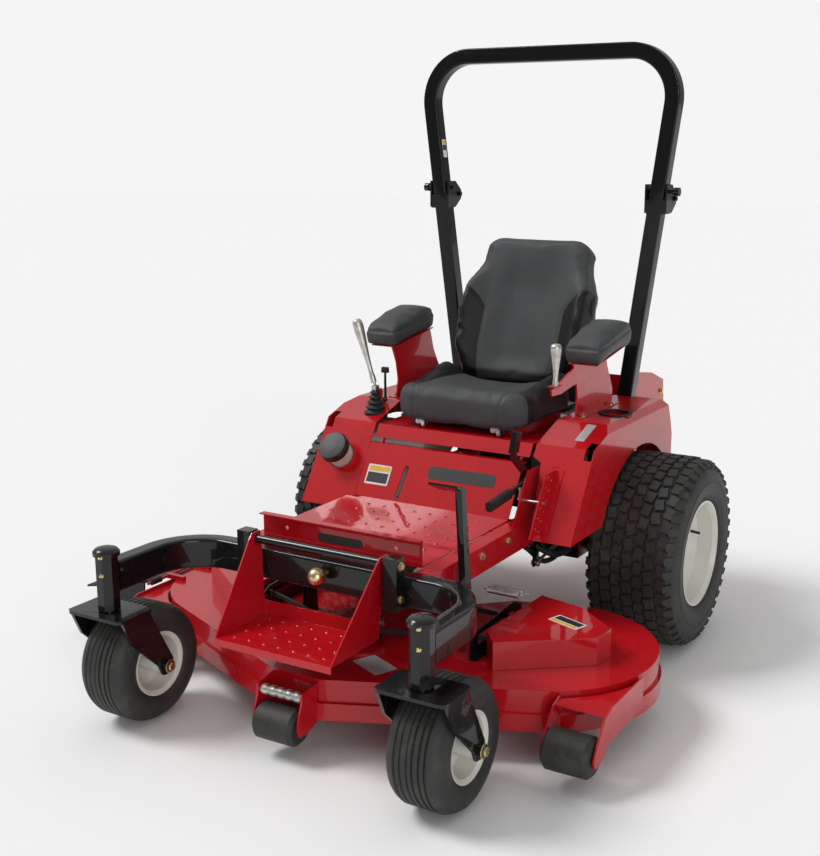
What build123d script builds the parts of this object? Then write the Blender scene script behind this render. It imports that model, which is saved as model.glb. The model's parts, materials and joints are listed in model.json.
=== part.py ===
"""Zero turn mower: frame, wheels, cutting deck, seat, controls and folding hoop.

Millimetres, +Z up. The machine faces -Y, and +X is the seated operator's left.
The shapes are laid out from the rear axle (y = 0) and the ground (z = 0); save() then
moves each piece so that the origin is the middle of the machine's footprint.
"""
from build123d import *
from math import atan2, cos, radians, sin, sqrt, tan
import os

os.makedirs("parts", exist_ok=True)

SIDES = {"left": 1, "right": -1}

# --- Driving dimensions ------------------------------------------------------------
RUN_GAP = 0.05          # radial room of a shaft in its bore
CLEAR = 1.0             # room between pieces that pass each other
SHEET = 3.0             # sheet metal of covers and pans
PLATE = 6.0             # bracket plate

# wheels
REAR_R = 305.0
REAR_W = 296.0
REAR_X = 559.0
REAR_BEAD_R = 160.0
CASTER_R = 165.0
CASTER_W = 158.0
CASTER_BEAD_R = 84.0
CASTER_X = 490.0
KINGPIN_Y = -1370.0
CASTER_TRAIL = 103.0
CASTER_AXLE_Y = KINGPIN_Y + CASTER_TRAIL
CASTER_AXLE_R = 9.5

# front frame
TUBE_H = 86.0
TUBE_D = 51.0
TUBE_WALL = 5.0
TUBE_Z0 = 392.0
CROSS_Y = -1050.0
BEND_R = 150.0
POST_AF = 58.0
POST_Z0 = 349.0
POST_Z1 = 498.0
CAP_H = 22.0
KINGPIN_R = 14.0

# main frame
RAIL_X = 288.0
RAIL_W = 51.0
RAIL_H = 76.0
RAIL_TOP = 478.0
RAIL_END = 560.0
REAR_END = 600.0

# floor and front panel
FLOOR_HALF = 262.0
FLOOR_FRONT_Y = -990.0
FLOOR_REAR_Z = 481.0
TOE_TOP = 555.0
PANEL_TOP_Y = -374.0
PANEL_TOP_Z = 692.0
PANEL_LEAN = 0.62       # forward travel of the panel for each mm down

# consoles over the rear wheels
CONSOLE_IN = 289.0
CONSOLE_OUT = 478.0
CONSOLE_TOP = 740.0
CONSOLE_BEND_Y = -227.0
CONSOLE_REAR_Y = 262.0
CONSOLE_BASE_Z = 440.0
ARCH_GAP = 24.0
CONSOLE_EDGE = 24.0

# deck
DECK_TOP = 205.0
DECK_BASE = 94.0
DECK_WALL = 4.0
BAND = 8.0
BAND_H = 48.0
LOBE_X = 478.0
LOBE_Y = -690.0
LOBE_R = 318.0
NOSE_Y = -1205.0
NOSE_HALF = 80.0
BLADE_R = 259.0
BLADE_Z = 118.0
SPINDLE_X = 495.0
SPINDLE_Y = -730.0
MID_SPINDLE_Y = -905.0
SPINDLE_R = 12.5
PULLEY_R = 70.0
PULLEY_Z = 250.0

# rollers under the deck's rim
SIDE_ROLLER_X = 724.0
SIDE_ROLLER_Y = -1048.0
SIDE_ROLLER_Z = 95.0
SIDE_ROLLER_R = 54.0
NOSE_ROLLER_Y = -1272.0
NOSE_ROLLER_Z = 92.0
NOSE_ROLLER_R = 50.0
ROLLER_W = 128.0
ROLLER_PIN_R = 8.0

# lift linkage
LIFT_Y = -895.0
LIFT_Z = 368.0
LIFT_R = 12.5
LIFT_ARM = 75.0
LIFT_ARM_X = 236.0
PEDAL_X = 340.0
PEDAL_TOP_Z = 700.0

# discharge chute
CHUTE_HINGE_X = -806.0
CHUTE_HINGE_Z = 212.0
CHUTE_Y0 = -905.0
CHUTE_Y1 = -600.0
CHUTE_REACH = 270.0
CHUTE_DROP = 56.0

# roll-over hoop
HOOP_Y = 255.0
HOOP_TUBE = 51.0
HOOP_WALL = 4.0
HOOP_TOP = 1895.0
HOOP_LEAN = 7.5         # degrees that each leg leans outwards
HOOP_FOOT_X = 287.0     # leg centre at the rail top
HOOP_BEND_R = 150.0
HOOP_JOINT_Z = 1401.0
HOOP_PIVOT_Y = 306.0
HOOP_PIVOT_R = 8.0
LOCK_Z = 1424.0
LOCK_R = 6.25

# seat
SEAT_FRONT_Y = -376.0
SEAT_HALF = 242.0
SEAT_BASE_Z = 728.0
SEAT_TOP_Z = 806.0
BACK_FOOT_Y = 3.0
BACK_FOOT_Z = 797.0
BACK_LEAN = 24.0
BACK_H = 520.0
BACK_T = 84.0

# controls
STICK_X = -337.0
STICK_Y = -305.0
STICK_PIVOT_Z = 722.0
STICK_KNUCKLE_Z = 792.0
FUEL_X = -386.0
FUEL_Z = 588.0
FUEL_TILT = 40.0
THROTTLE_X = -330.0
THROTTLE_Y = -256.0
THROTTLE_Z = 743.0
THROTTLE_PIN_R = 3.0
SWITCH_X = -362.0
SWITCH_Y = -252.0
SWITCH_R = 5.0


REAR_AXLE_Z = REAR_R
CASTER_AXLE_Z = CASTER_R
DECK_OUT = LOBE_X + LOBE_R + BAND
ORIGIN_X = (DECK_OUT + CHUTE_HINGE_X - CHUTE_REACH) / 2
ORIGIN_Y = (CASTER_AXLE_Y - CASTER_R + REAR_END) / 2


def save(piece, name):
    """Move a finished piece to the footprint's middle, label it and write its STEP file."""
    placed = Pos(-ORIGIN_X, -ORIGIN_Y, 0) * piece.part
    placed.label = name
    export_step(placed, f"parts/{name}.step")


def block(x0, x1, y0, y1, z0, z1, mode=Mode.ADD):
    """Box between two corners, in the open part."""
    with Locations(((x0 + x1) / 2, (y0 + y1) / 2, (z0 + z1) / 2)):
        Box(abs(x1 - x0), abs(y1 - y0), abs(z1 - z0), mode=mode)


def rod_x(x0, x1, y, z, r, mode=Mode.ADD):
    """Cylinder along X."""
    with Locations(((x0 + x1) / 2, y, z)):
        Cylinder(r, abs(x1 - x0), rotation=(0, 90, 0), mode=mode)


def rod_y(x, y0, y1, z, r, mode=Mode.ADD):
    """Cylinder along Y."""
    with Locations((x, (y0 + y1) / 2, z)):
        Cylinder(r, abs(y1 - y0), rotation=(90, 0, 0), mode=mode)


def rod_z(x, y, z0, z1, r, mode=Mode.ADD):
    """Cylinder along Z."""
    with Locations((x, y, (z0 + z1) / 2)):
        Cylinder(r, abs(z1 - z0), mode=mode)


def side_plate(points, x0, x1, mode=Mode.ADD):
    """Plate with a YZ outline, between two X positions."""
    with BuildSketch(Plane.YZ.offset(min(x0, x1))) as outline:
        with BuildLine():
            Polyline(*points, close=True)
        make_face()
    extrude(outline.sketch, amount=abs(x1 - x0), mode=mode)


def flat_plate(points, z0, z1, mode=Mode.ADD):
    """Plate with an XY outline, between two heights."""
    with BuildSketch(Plane.XY.offset(z0)) as outline:
        with BuildLine():
            Polyline(*points, close=True)
        make_face()
    extrude(outline.sketch, amount=z1 - z0, mode=mode)


def lathe_x(points, x, y, z, mode=Mode.ADD):
    """Turned piece about an X axis; points are (along X, radius)."""
    with BuildSketch(Plane(origin=(x, y, z), x_dir=(1, 0, 0), z_dir=(0, -1, 0))) as outline:
        with BuildLine():
            Polyline(*points, close=True)
        make_face()
    revolve(outline.sketch, axis=Axis((x, y, z), (1, 0, 0)), mode=mode)


def lathe_z(points, x, y, mode=Mode.ADD):
    """Turned piece about a Z axis; points are (radius, height)."""
    with BuildSketch(Plane(origin=(x, y, 0), x_dir=(1, 0, 0), z_dir=(0, -1, 0))) as outline:
        with BuildLine():
            Polyline(*points, close=True)
        make_face()
    revolve(outline.sketch, axis=Axis((x, y, 0), (0, 0, 1)), mode=mode)


def panel_y(z):
    """Y of the leaning front panel at a height."""
    return PANEL_TOP_Y - PANEL_LEAN * (PANEL_TOP_Z - z)


def hoop_x(z):
    """X of a hoop leg's centre at a height."""
    return HOOP_FOOT_X + (z - RAIL_TOP) * tan(radians(HOOP_LEAN))


# --- Main frame --------------------------------------------------------------------
RAIL_FRONT = CROSS_Y + TUBE_D / 2
RAIL_Z0 = RAIL_TOP - RAIL_H
ENGINE_Y = 235.0
ENGINE_BORE = 60.0
ENGINE_PLATE_Z = RAIL_TOP
CROSS_MEMBERS = (-470.0, 40.0, 470.0)
HITCH_HOLE_R = 10.0
DRIVE_NECK_R = 30.0
HITCH_Y = REAR_END - 32.0
HITCH_T = 10.0

with BuildPart() as main_frame:
    for side in SIDES.values():
        x_in = side * (RAIL_X - RAIL_W / 2)
        x_out = side * (RAIL_X + RAIL_W / 2)
        wall = side * TUBE_WALL
        block(x_in, x_out, RAIL_FRONT, RAIL_END, RAIL_Z0, RAIL_TOP)
        block(x_in + wall, x_out - wall, RAIL_FRONT, RAIL_END, RAIL_Z0 + TUBE_WALL, RAIL_TOP - TUBE_WALL,
              mode=Mode.SUBTRACT)
    cross_half = RAIL_X - RAIL_W / 2
    for y in CROSS_MEMBERS:
        block(-cross_half, cross_half, y - TUBE_D / 2, y + TUBE_D / 2, RAIL_Z0 + 12, RAIL_TOP - 12)
    block(-cross_half, cross_half, 90, 400, ENGINE_PLATE_Z - PLATE, ENGINE_PLATE_Z)
    rod_z(0, ENGINE_Y, ENGINE_PLATE_Z - 20, ENGINE_PLATE_Z + 5, ENGINE_BORE, mode=Mode.SUBTRACT)
    # hitch plate behind the rails
    block(-cross_half - RAIL_W, cross_half + RAIL_W, RAIL_END, RAIL_END + HITCH_T, 360, RAIL_TOP)
    block(-70, 70, RAIL_END, REAR_END, 360 - HITCH_T, 360)
    rod_z(0, HITCH_Y, 340, 370, HITCH_HOLE_R, mode=Mode.SUBTRACT)
    # bearing plates of the lift shaft, under the rails
    for side in SIDES.values():
        x0 = side * (RAIL_X - 3)
        x1 = side * (RAIL_X + 3)
        side_plate([(LIFT_Y - 30, RAIL_Z0), (LIFT_Y + 30, RAIL_Z0), (LIFT_Y + 22, LIFT_Z - 22),
                    (LIFT_Y - 22, LIFT_Z - 22)], x0, x1)
    rod_x(-RAIL_X - 10, RAIL_X + 10, LIFT_Y, LIFT_Z, LIFT_R + RUN_GAP, mode=Mode.SUBTRACT)
    # hangers that hold the drive units
    for side in SIDES.values():
        hanger = side * (RAIL_X + 12)
        side_plate([(-95, RAIL_Z0), (95, RAIL_Z0), (70, 250), (-70, 250)], hanger, hanger + side * PLATE)
        rod_x(hanger - 20, hanger + 20, 0, REAR_AXLE_Z, DRIVE_NECK_R + CLEAR, mode=Mode.SUBTRACT)
save(main_frame, "main_frame")

# --- Front frame: cross tube, curved arms, kingpin posts with caps, step rod --------
TUBE_MID_Z = TUBE_Z0 + TUBE_H / 2
ARM_END_Y = KINGPIN_Y + POST_AF / 2 - 8
STEP_ROD_Y = -1100.0
STEP_ROD_Z = 512.0
STEP_ROD_R = 12.0
STEP_POST_X = 216.0
STEP_POST_W = 42.0

with BuildPart() as front_frame:
    with BuildLine() as arm_path:
        FilletPolyline((-CASTER_X, ARM_END_Y, TUBE_MID_Z), (-CASTER_X, CROSS_Y, TUBE_MID_Z),
                       (CASTER_X, CROSS_Y, TUBE_MID_Z), (CASTER_X, ARM_END_Y, TUBE_MID_Z), radius=BEND_R)
    with BuildSketch(Plane(origin=(-CASTER_X, ARM_END_Y, TUBE_MID_Z), x_dir=(1, 0, 0), z_dir=(0, 1, 0))):
        RectangleRounded(TUBE_D, TUBE_H, 9)
        RectangleRounded(TUBE_D - 2 * TUBE_WALL, TUBE_H - 2 * TUBE_WALL, 5, mode=Mode.SUBTRACT)
    sweep(path=arm_path.line)
    for side in SIDES.values():
        with BuildSketch(Plane.XY.offset(POST_Z0)):
            with Locations((side * CASTER_X, KINGPIN_Y)):
                RegularPolygon(POST_AF / 2, 8, major_radius=False, rotation=22.5)
        extrude(amount=POST_Z1 - POST_Z0)
        rod_z(side * CASTER_X, KINGPIN_Y, POST_Z0 - 1, POST_Z1 + 1, KINGPIN_R + RUN_GAP, mode=Mode.SUBTRACT)
        lathe_z([(0, POST_Z1), (POST_AF / 2 + 7, POST_Z1), (POST_AF / 2 + 7, POST_Z1 + 10),
                 (POST_AF / 2, POST_Z1 + 18), (14, POST_Z1 + CAP_H), (0, POST_Z1 + CAP_H)],
                side * CASTER_X, KINGPIN_Y)
        # upright that carries the step, on the cross tube's front face
        x0 = side * STEP_POST_X
        x1 = side * (STEP_POST_X + STEP_POST_W)
        block(x0, x1, CROSS_Y - TUBE_D / 2 - 38, CROSS_Y - TUBE_D / 2, TUBE_Z0, STEP_ROD_Z + 22)
    rod_x(-STEP_POST_X, STEP_POST_X, STEP_ROD_Y + 6, STEP_ROD_Z, STEP_ROD_R)
save(front_frame, "front_frame")

# --- Floor pan with its upright toe plate ------------------------------------------
DIMPLE_R = 7.0
FLOOR_BACK_Y = panel_y(FLOOR_REAR_Z)

with BuildPart() as floor_pan:
    block(-FLOOR_HALF, FLOOR_HALF, FLOOR_FRONT_Y, FLOOR_BACK_Y, RAIL_TOP, RAIL_TOP + SHEET)
    block(-FLOOR_HALF, FLOOR_HALF, FLOOR_FRONT_Y - SHEET, FLOOR_FRONT_Y, RAIL_TOP, TOE_TOP)
    block(-FLOOR_HALF, FLOOR_HALF, FLOOR_FRONT_Y - 22, FLOOR_FRONT_Y, TOE_TOP - SHEET, TOE_TOP)
    with BuildSketch(Plane.XZ.offset(-FLOOR_FRONT_Y - 1)):
        for side in SIDES.values():
            with Locations((side * 180, 520)):
                Circle(6)
    extrude(amount=8, mode=Mode.SUBTRACT)
    with Locations(Plane.XY.offset(RAIL_TOP + SHEET)):
        with Locations((0, (FLOOR_FRONT_Y + FLOOR_BACK_Y) / 2)):
            with GridLocations(55, 60, 8, 7):
                Cone(DIMPLE_R, DIMPLE_R - 3, 3, align=(Align.CENTER, Align.CENTER, Align.MIN))
save(floor_pan, "floor_pan")

# --- Step hung on the front uprights -------------------------------------------------
STEP_HALF = 187.0
STEP_TOP_HALF = STEP_POST_X - 8
STEP_FRONT_Y = -1306.0
STEP_BACK_Y = -1090.0
STEP_Z = 301.0

with BuildPart() as front_step:
    block(-STEP_HALF, STEP_HALF, STEP_FRONT_Y, STEP_BACK_Y, STEP_Z - 4, STEP_Z)
    block(-STEP_HALF, STEP_HALF, STEP_FRONT_Y, STEP_FRONT_Y + 4, STEP_Z - 20, STEP_Z)
    block(-STEP_HALF, STEP_HALF, STEP_BACK_Y - 4, STEP_BACK_Y, STEP_Z, STEP_Z + 38)
    lean = atan2(STEP_TOP_HALF - STEP_HALF, STEP_ROD_Z - STEP_Z)
    for side in SIDES.values():
        foot = Plane(origin=(side * STEP_HALF, 0, STEP_Z), x_dir=(0, 1, 0),
                     z_dir=(side * cos(lean), 0, -sin(lean)))
        rise = side * (STEP_ROD_Z + 20 - STEP_Z) / cos(lean)
        with BuildSketch(foot):
            with BuildLine():
                Polyline((STEP_FRONT_Y, side * -4), (STEP_BACK_Y, side * -4), (STEP_BACK_Y, side * 60),
                         (STEP_ROD_Y + 22, rise * 0.84), (STEP_ROD_Y + 22, rise), (STEP_ROD_Y - 12, rise),
                         (STEP_ROD_Y - 28, rise * 0.93), close=True)
            make_face()
        extrude(amount=-4)
        rod_x(side * 150, side * 260, STEP_ROD_Y + 6, STEP_ROD_Z, STEP_ROD_R + CLEAR, mode=Mode.SUBTRACT)
    with Locations(Plane.XY.offset(STEP_Z)):
        with Locations((0, (STEP_FRONT_Y + STEP_BACK_Y) / 2)):
            with GridLocations(48, 48, 7, 4):
                Cone(DIMPLE_R, DIMPLE_R - 3, 3, align=(Align.CENTER, Align.CENTER, Align.MIN))
save(front_step, "front_step")

# --- Front panel, seat platform and its lip -----------------------------------------
PANEL_RIGHT = -CONSOLE_IN
PANEL_LEFT = 262.0
SEAT_RAIL_X = 155.0
SEAT_RAIL_W = 30.0
SEAT_RAIL_H = 16.0
SEAT_RAIL_Y0 = -300.0
SEAT_RAIL_Y1 = 50.0
PANEL_EDGE_Z = 634.0
LIP_Z = 652.0
PLATFORM_Z = 690.0
PLATFORM_BACK = 60.0

with BuildPart() as front_panel:
    y_low = panel_y(RAIL_TOP + SHEET)
    y_edge = panel_y(PANEL_EDGE_Z)
    side_plate([(y_low, RAIL_TOP + SHEET), (y_edge, PANEL_EDGE_Z), (y_edge + 24, PANEL_EDGE_Z),
                (y_edge + 24, PANEL_EDGE_Z - SHEET), (y_edge + SHEET, PANEL_EDGE_Z - SHEET),
                (y_low + SHEET + 1, RAIL_TOP + SHEET)], PANEL_RIGHT + CLEAR, PANEL_LEFT)
    y_lip = panel_y(LIP_Z)
    y_brow = panel_y(PLATFORM_Z)
    side_plate([(y_lip, LIP_Z), (y_brow, PLATFORM_Z), (PLATFORM_BACK, PLATFORM_Z),
                (PLATFORM_BACK, PLATFORM_Z - SHEET), (y_brow + SHEET, PLATFORM_Z - SHEET),
                (y_lip + SHEET + 1, LIP_Z)], -CONSOLE_IN + 12, CONSOLE_IN - 12)
    # uprights that carry the platform on the rails
    for side in SIDES.values():
        for y in (-120.0, 20.0):
            block(side * (RAIL_X - 24), side * (RAIL_X - 24 + SHEET), y, y + 40, RAIL_TOP, PLATFORM_Z - SHEET)
        # rib that joins the panel to the lip
        side_plate([(y_low + SHEET, RAIL_TOP + SHEET), (y_brow + SHEET, PLATFORM_Z), (y_brow + 22, PLATFORM_Z),
                    (y_low + 22, RAIL_TOP + SHEET)], side * 246, side * (246 + SHEET))
    # rails that the seat slides on
    for side in SIDES.values():
        block(side * (SEAT_RAIL_X - SEAT_RAIL_W / 2), side * (SEAT_RAIL_X + SEAT_RAIL_W / 2), SEAT_RAIL_Y0,
              SEAT_RAIL_Y1, PLATFORM_Z, PLATFORM_Z + SEAT_RAIL_H)
    # slot that shows the fuel level
    face = Plane(origin=(-132, panel_y(535), 535), x_dir=(1, 0, 0), z_dir=(0, -1, PANEL_LEAN))
    with BuildSketch(face):
        SlotOverall(112, 16, rotation=86)
    extrude(amount=12, both=True, mode=Mode.SUBTRACT)
save(front_panel, "front_panel")

# --- Consoles over the rear wheels ----------------------------------------------------
CUP_X = 411.0
CUP_Y = -60.0
CUP_R = 46.0
CUP_DEPTH = 70.0
CUP_WALL = 2.5
LEVER_SLOT_Y = -380.0
ARCH_R = REAR_R + ARCH_GAP
HOOP_NOTCH = hoop_x(CONSOLE_TOP) + HOOP_TUBE / 2 + 6


def console_outline(inset):
    """Side outline of a console's shell, moved inwards by inset; the wheel arch is cut later."""
    top = CONSOLE_TOP - inset
    front = CONSOLE_BASE_Z
    return [(panel_y(front) + inset, front - (2 if inset else 0)),
            (panel_y(PANEL_TOP_Z) + inset, PANEL_TOP_Z - inset * 0.5), (CONSOLE_BEND_Y, top),
            (CONSOLE_REAR_Y - inset - 25, top), (CONSOLE_REAR_Y - inset + 12, top - 84),
            (CONSOLE_REAR_Y - inset + 25, top - 122), (CONSOLE_REAR_Y - inset + 25, front - (2 if inset else 0))]


FUEL_Y = panel_y(FUEL_Z)
FUEL_HOLE_R = 47.0
NECK_R = 42.0
STICK_HOLE_R = 24.0
fuel_axis = Vector(0, -sin(radians(90 - FUEL_TILT)), cos(radians(90 - FUEL_TILT)))
fuel_plane = Plane(origin=(FUEL_X, FUEL_Y, FUEL_Z), x_dir=(1, 0, 0), z_dir=fuel_axis)

for name, side in SIDES.items():
    with BuildPart() as console:
        side_plate(console_outline(0), side * CONSOLE_IN, side * CONSOLE_OUT)
        outer = console.faces().sort_by(Axis.X)[-1 if side > 0 else 0]
        chamfer(outer.edges().filter_by(GeomType.LINE).sort_by(Axis.Z)[-1], CONSOLE_EDGE * 0.75, CONSOLE_EDGE,
                reference=outer)
        inner_wall = CONSOLE_OUT - SHEET
        side_plate(console_outline(SHEET), side * (CONSOLE_IN - 5), side * (inner_wall - CONSOLE_EDGE),
                   mode=Mode.SUBTRACT)
        block(side * (inner_wall - CONSOLE_EDGE - 1), side * inner_wall, panel_y(CONSOLE_BASE_Z) + 138,
              CONSOLE_REAR_Y - 4, CONSOLE_BASE_Z - 5, CONSOLE_TOP - CONSOLE_EDGE - 12, mode=Mode.SUBTRACT)
        rod_x(side * (CONSOLE_IN - 10), side * (CONSOLE_OUT + 10), 0, REAR_AXLE_Z, ARCH_R, mode=Mode.SUBTRACT)
        block(side * (CONSOLE_IN - 5), side * HOOP_NOTCH, HOOP_Y - HOOP_TUBE / 2 - 6, CONSOLE_REAR_Y + 40,
              CONSOLE_BASE_Z - 10, CONSOLE_TOP + 10, mode=Mode.SUBTRACT)
        block(side * (CONSOLE_IN - 5), side * (RAIL_X + RAIL_W / 2 + CLEAR), panel_y(CONSOLE_BASE_Z) - 20,
              CONSOLE_REAR_Y + 40, CONSOLE_BASE_Z - 10, RAIL_TOP + CLEAR, mode=Mode.SUBTRACT)
        if name == "left":
            # the front sheet stops short of the levers that come out beside it
            with BuildSketch(Plane.XZ.offset(-LEVER_SLOT_Y)):
                with BuildLine():
                    Polyline((CONSOLE_IN - 9, 660), (318, 642), (347, CONSOLE_BASE_Z - 5),
                             (CONSOLE_IN - 9, CONSOLE_BASE_Z - 5), close=True)
                make_face()
            extrude(amount=260, mode=Mode.SUBTRACT)
            rod_z(CUP_X, CUP_Y, CONSOLE_TOP - CUP_DEPTH, CONSOLE_TOP, CUP_R + CUP_WALL)
            rod_z(CUP_X, CUP_Y, CONSOLE_TOP - CUP_DEPTH + CUP_WALL, CONSOLE_TOP + 5, CUP_R,
                  mode=Mode.SUBTRACT)
        else:
            # holes for the fuel neck and for the drive stick
            with BuildSketch(fuel_plane):
                Circle(FUEL_HOLE_R)
            extrude(amount=60, both=True, mode=Mode.SUBTRACT)
            rod_z(STICK_X, STICK_Y, PANEL_TOP_Z - 10, CONSOLE_TOP + 5, STICK_HOLE_R, mode=Mode.SUBTRACT)
            rod_z(SWITCH_X, SWITCH_Y, PANEL_TOP_Z, CONSOLE_TOP + 5, SWITCH_R + RUN_GAP, mode=Mode.SUBTRACT)
            # lug and pin of the throttle
            block(THROTTLE_X - 10, THROTTLE_X - 5, THROTTLE_Y - 8, THROTTLE_Y + 8, 728, THROTTLE_Z + 8)
            rod_x(THROTTLE_X - 8, THROTTLE_X + 6, THROTTLE_Y, THROTTLE_Z, THROTTLE_PIN_R)
    save(console, f"console_{name}")

# --- Fuel tank and cap ----------------------------------------------------------------
CAP_R = 52.0
CAP_T = 30.0
CAP_BORE = NECK_R - 4

with BuildPart() as fuel_tank:
    side_plate([(panel_y(490) + 30, 490), (panel_y(655) + 30, 655), (-150, 655), (-150, 640), (-260, 490)],
               -CONSOLE_OUT + 40, -110)
    rod_x(-CONSOLE_OUT, -100, 0, REAR_AXLE_Z, ARCH_R + 15, mode=Mode.SUBTRACT)
    with BuildSketch(fuel_plane.offset(-40)):
        Circle(NECK_R)
    extrude(amount=40 + 34)
    with BuildSketch(fuel_plane.offset(34)):
        Circle(CAP_BORE - 3)
    extrude(amount=20)
save(fuel_tank, "fuel_tank")

with BuildPart() as fuel_cap:
    with BuildSketch(fuel_plane.offset(34 + CLEAR)):
        Circle(CAP_R)
        Circle(CAP_BORE - 3 + CLEAR, mode=Mode.SUBTRACT)
        with PolarLocations(CAP_R + 3, 10):
            Circle(6.5, mode=Mode.SUBTRACT)
    extrude(amount=CAP_T - 7)
    with BuildSketch(fuel_plane.offset(34 + CLEAR + CAP_T - 7)):
        Circle(CAP_R - 3)
    extrude(amount=7, taper=35)
save(fuel_cap, "fuel_cap")

# --- Battery ---------------------------------------------------------------------------
with BuildPart() as battery:
    block(70, 250, -330, -160, RAIL_TOP + 2, 652)
    for x in (95, 225):
        rod_z(x, -185, 652, 664, 8)
    block(60, 256, -345, -150, RAIL_TOP - 4, RAIL_TOP + 2)
save(battery, "battery")

# --- Engine ------------------------------------------------------------------------------
CRANK_R = 14.0
FIN_R = 74.0
CYLINDER_R = 56.0
CYLINDER_Z = RAIL_TOP + 65
SHROUD_Z = 608.0

with BuildPart() as engine_block:
    block(-120, 120, ENGINE_Y - 135, ENGINE_Y + 120, RAIL_TOP, SHROUD_Z - CLEAR)
    fillet(engine_block.edges().filter_by(Axis.Z), 25)
    for side in SIDES.values():
        head = Plane(origin=(side * 60, ENGINE_Y + 55, CYLINDER_Z), x_dir=(0, 0, 1),
                     z_dir=(side * sin(radians(45)), cos(radians(45)), 0))
        with BuildSketch(head):
            Circle(CYLINDER_R)
        extrude(amount=190)
        for step in range(6):
            with BuildSketch(head.offset(78 + step * 14)):
                RectangleRounded(1.7 * FIN_R, 2 * FIN_R, 14)
            extrude(amount=5)
        with BuildSketch(head.offset(165)):
            RectangleRounded(1.6 * FIN_R, 1.4 * FIN_R, 14)
        extrude(amount=34)
    rod_z(0, ENGINE_Y, RAIL_TOP - 1, 560, CRANK_R + RUN_GAP, mode=Mode.SUBTRACT)
    # exhaust silencer across the back
    rod_x(-165, 165, 535, 545, 46)
    for side in SIDES.values():
        rod_y(side * 140, 470, 500, 545, 15)
save(engine_block, "engine_block")

with BuildPart() as engine_shroud:
    rod_z(0, ENGINE_Y, SHROUD_Z, SHROUD_Z + 60, 158)
    rod_z(0, ENGINE_Y, SHROUD_Z + 50, SHROUD_Z + 78, 120)
    fillet(engine_shroud.edges().filter_by(GeomType.CIRCLE).sort_by(Axis.Z)[-1], 10)
    rod_z(0, ENGINE_Y, SHROUD_Z - 5, SHROUD_Z + 48, 150, mode=Mode.SUBTRACT)
    with Locations((0, ENGINE_Y, SHROUD_Z + 72)):
        with PolarLocations(85, 18):
            Box(50, 6, 30, mode=Mode.SUBTRACT)
    block(-90, 90, ENGINE_Y + 110, ENGINE_Y + 235, SHROUD_Z + 30, 735)
save(engine_shroud, "engine_shroud")

with BuildPart() as engine_pulley:
    lathe_z([(0, 330), (95, 330), (95, 335), (80, 342), (80, 346), (95, 353), (95, 358), (70, 358), (40, 372),
             (0, 372)], 0, ENGINE_Y)
    rod_z(0, ENGINE_Y, 372, 550, CRANK_R)
save(engine_pulley, "engine_pulley")

# --- Drive units, one inside each rear wheel ---------------------------------------------
HUB_SHAFT_R = 16.0
DRIVE_OUT = RAIL_X + 12 - CLEAR

with BuildPart() as drive_units:
    for side in SIDES.values():
        block(side * 120, side * DRIVE_OUT, -70, 70, 240, 372)
        block(side * 150, side * 250, -60, 60, 372, RAIL_Z0 - 4)
        rod_x(side * 100, side * DRIVE_OUT, 0, REAR_AXLE_Z, 52)
        rod_x(side * (RAIL_X + 13 + PLATE), side * (REAR_X - REAR_W / 2 - 32), 0, REAR_AXLE_Z, 46)
        rod_x(side * (DRIVE_OUT - 1), side * (RAIL_X + 14 + PLATE), 0, REAR_AXLE_Z, DRIVE_NECK_R)
        rod_x(side * 140, side * (REAR_X), 0, REAR_AXLE_Z, HUB_SHAFT_R + RUN_GAP, mode=Mode.SUBTRACT)
save(drive_units, "drive_units")

# --- Guard round the engine --------------------------------------------------------------
GUARD_X = 333.0
GUARD_FRONT = 292.0
GUARD_BASE = 440.0
GUARD_TOP = [(GUARD_FRONT, 812), (462, 786), (580, 744)]

with BuildPart() as rear_guard:
    for side in SIDES.values():
        side_plate([(GUARD_FRONT, GUARD_BASE)] + GUARD_TOP + [(REAR_END - 8, 659), (REAR_END - 8, GUARD_BASE)],
                   side * (GUARD_X - SHEET), side * GUARD_X)
        flange = GUARD_TOP + [(y, z - SHEET) for y, z in reversed(GUARD_TOP)]
        side_plate(flange, side * (GUARD_X - 30), side * (GUARD_X - SHEET))
        block(side * (RAIL_X + RAIL_W / 2), side * (GUARD_X - SHEET), GUARD_FRONT + 10, RAIL_END, GUARD_BASE,
              GUARD_BASE + SHEET)
    block(-GUARD_X, GUARD_X, REAR_END - 8 - SHEET, REAR_END - 8, RAIL_TOP + 6, 659)
    side_plate([(580, 744), (REAR_END - 8, 659), (REAR_END - 8 - SHEET, 659), (580 - SHEET, 744)],
               -GUARD_X, GUARD_X)
    with BuildSketch(Plane.XZ.offset(-REAR_END - 5)):
        with Locations((0, 575)):
            with GridLocations(150, 0, 4, 1):
                SlotOverall(120, 100, rotation=90)
    extrude(amount=30, mode=Mode.SUBTRACT)
save(rear_guard, "rear_guard")

# --- Roll-over hoop: fixed posts, folding top, lock pins ------------------------------------
EAR_GAP = 32.0
EAR_T = 6.0
COLLAR_H = 46.0
FOOT_T = 8.0
hoop_lean = radians(HOOP_LEAN)
joint_x = hoop_x(HOOP_JOINT_Z)

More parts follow.
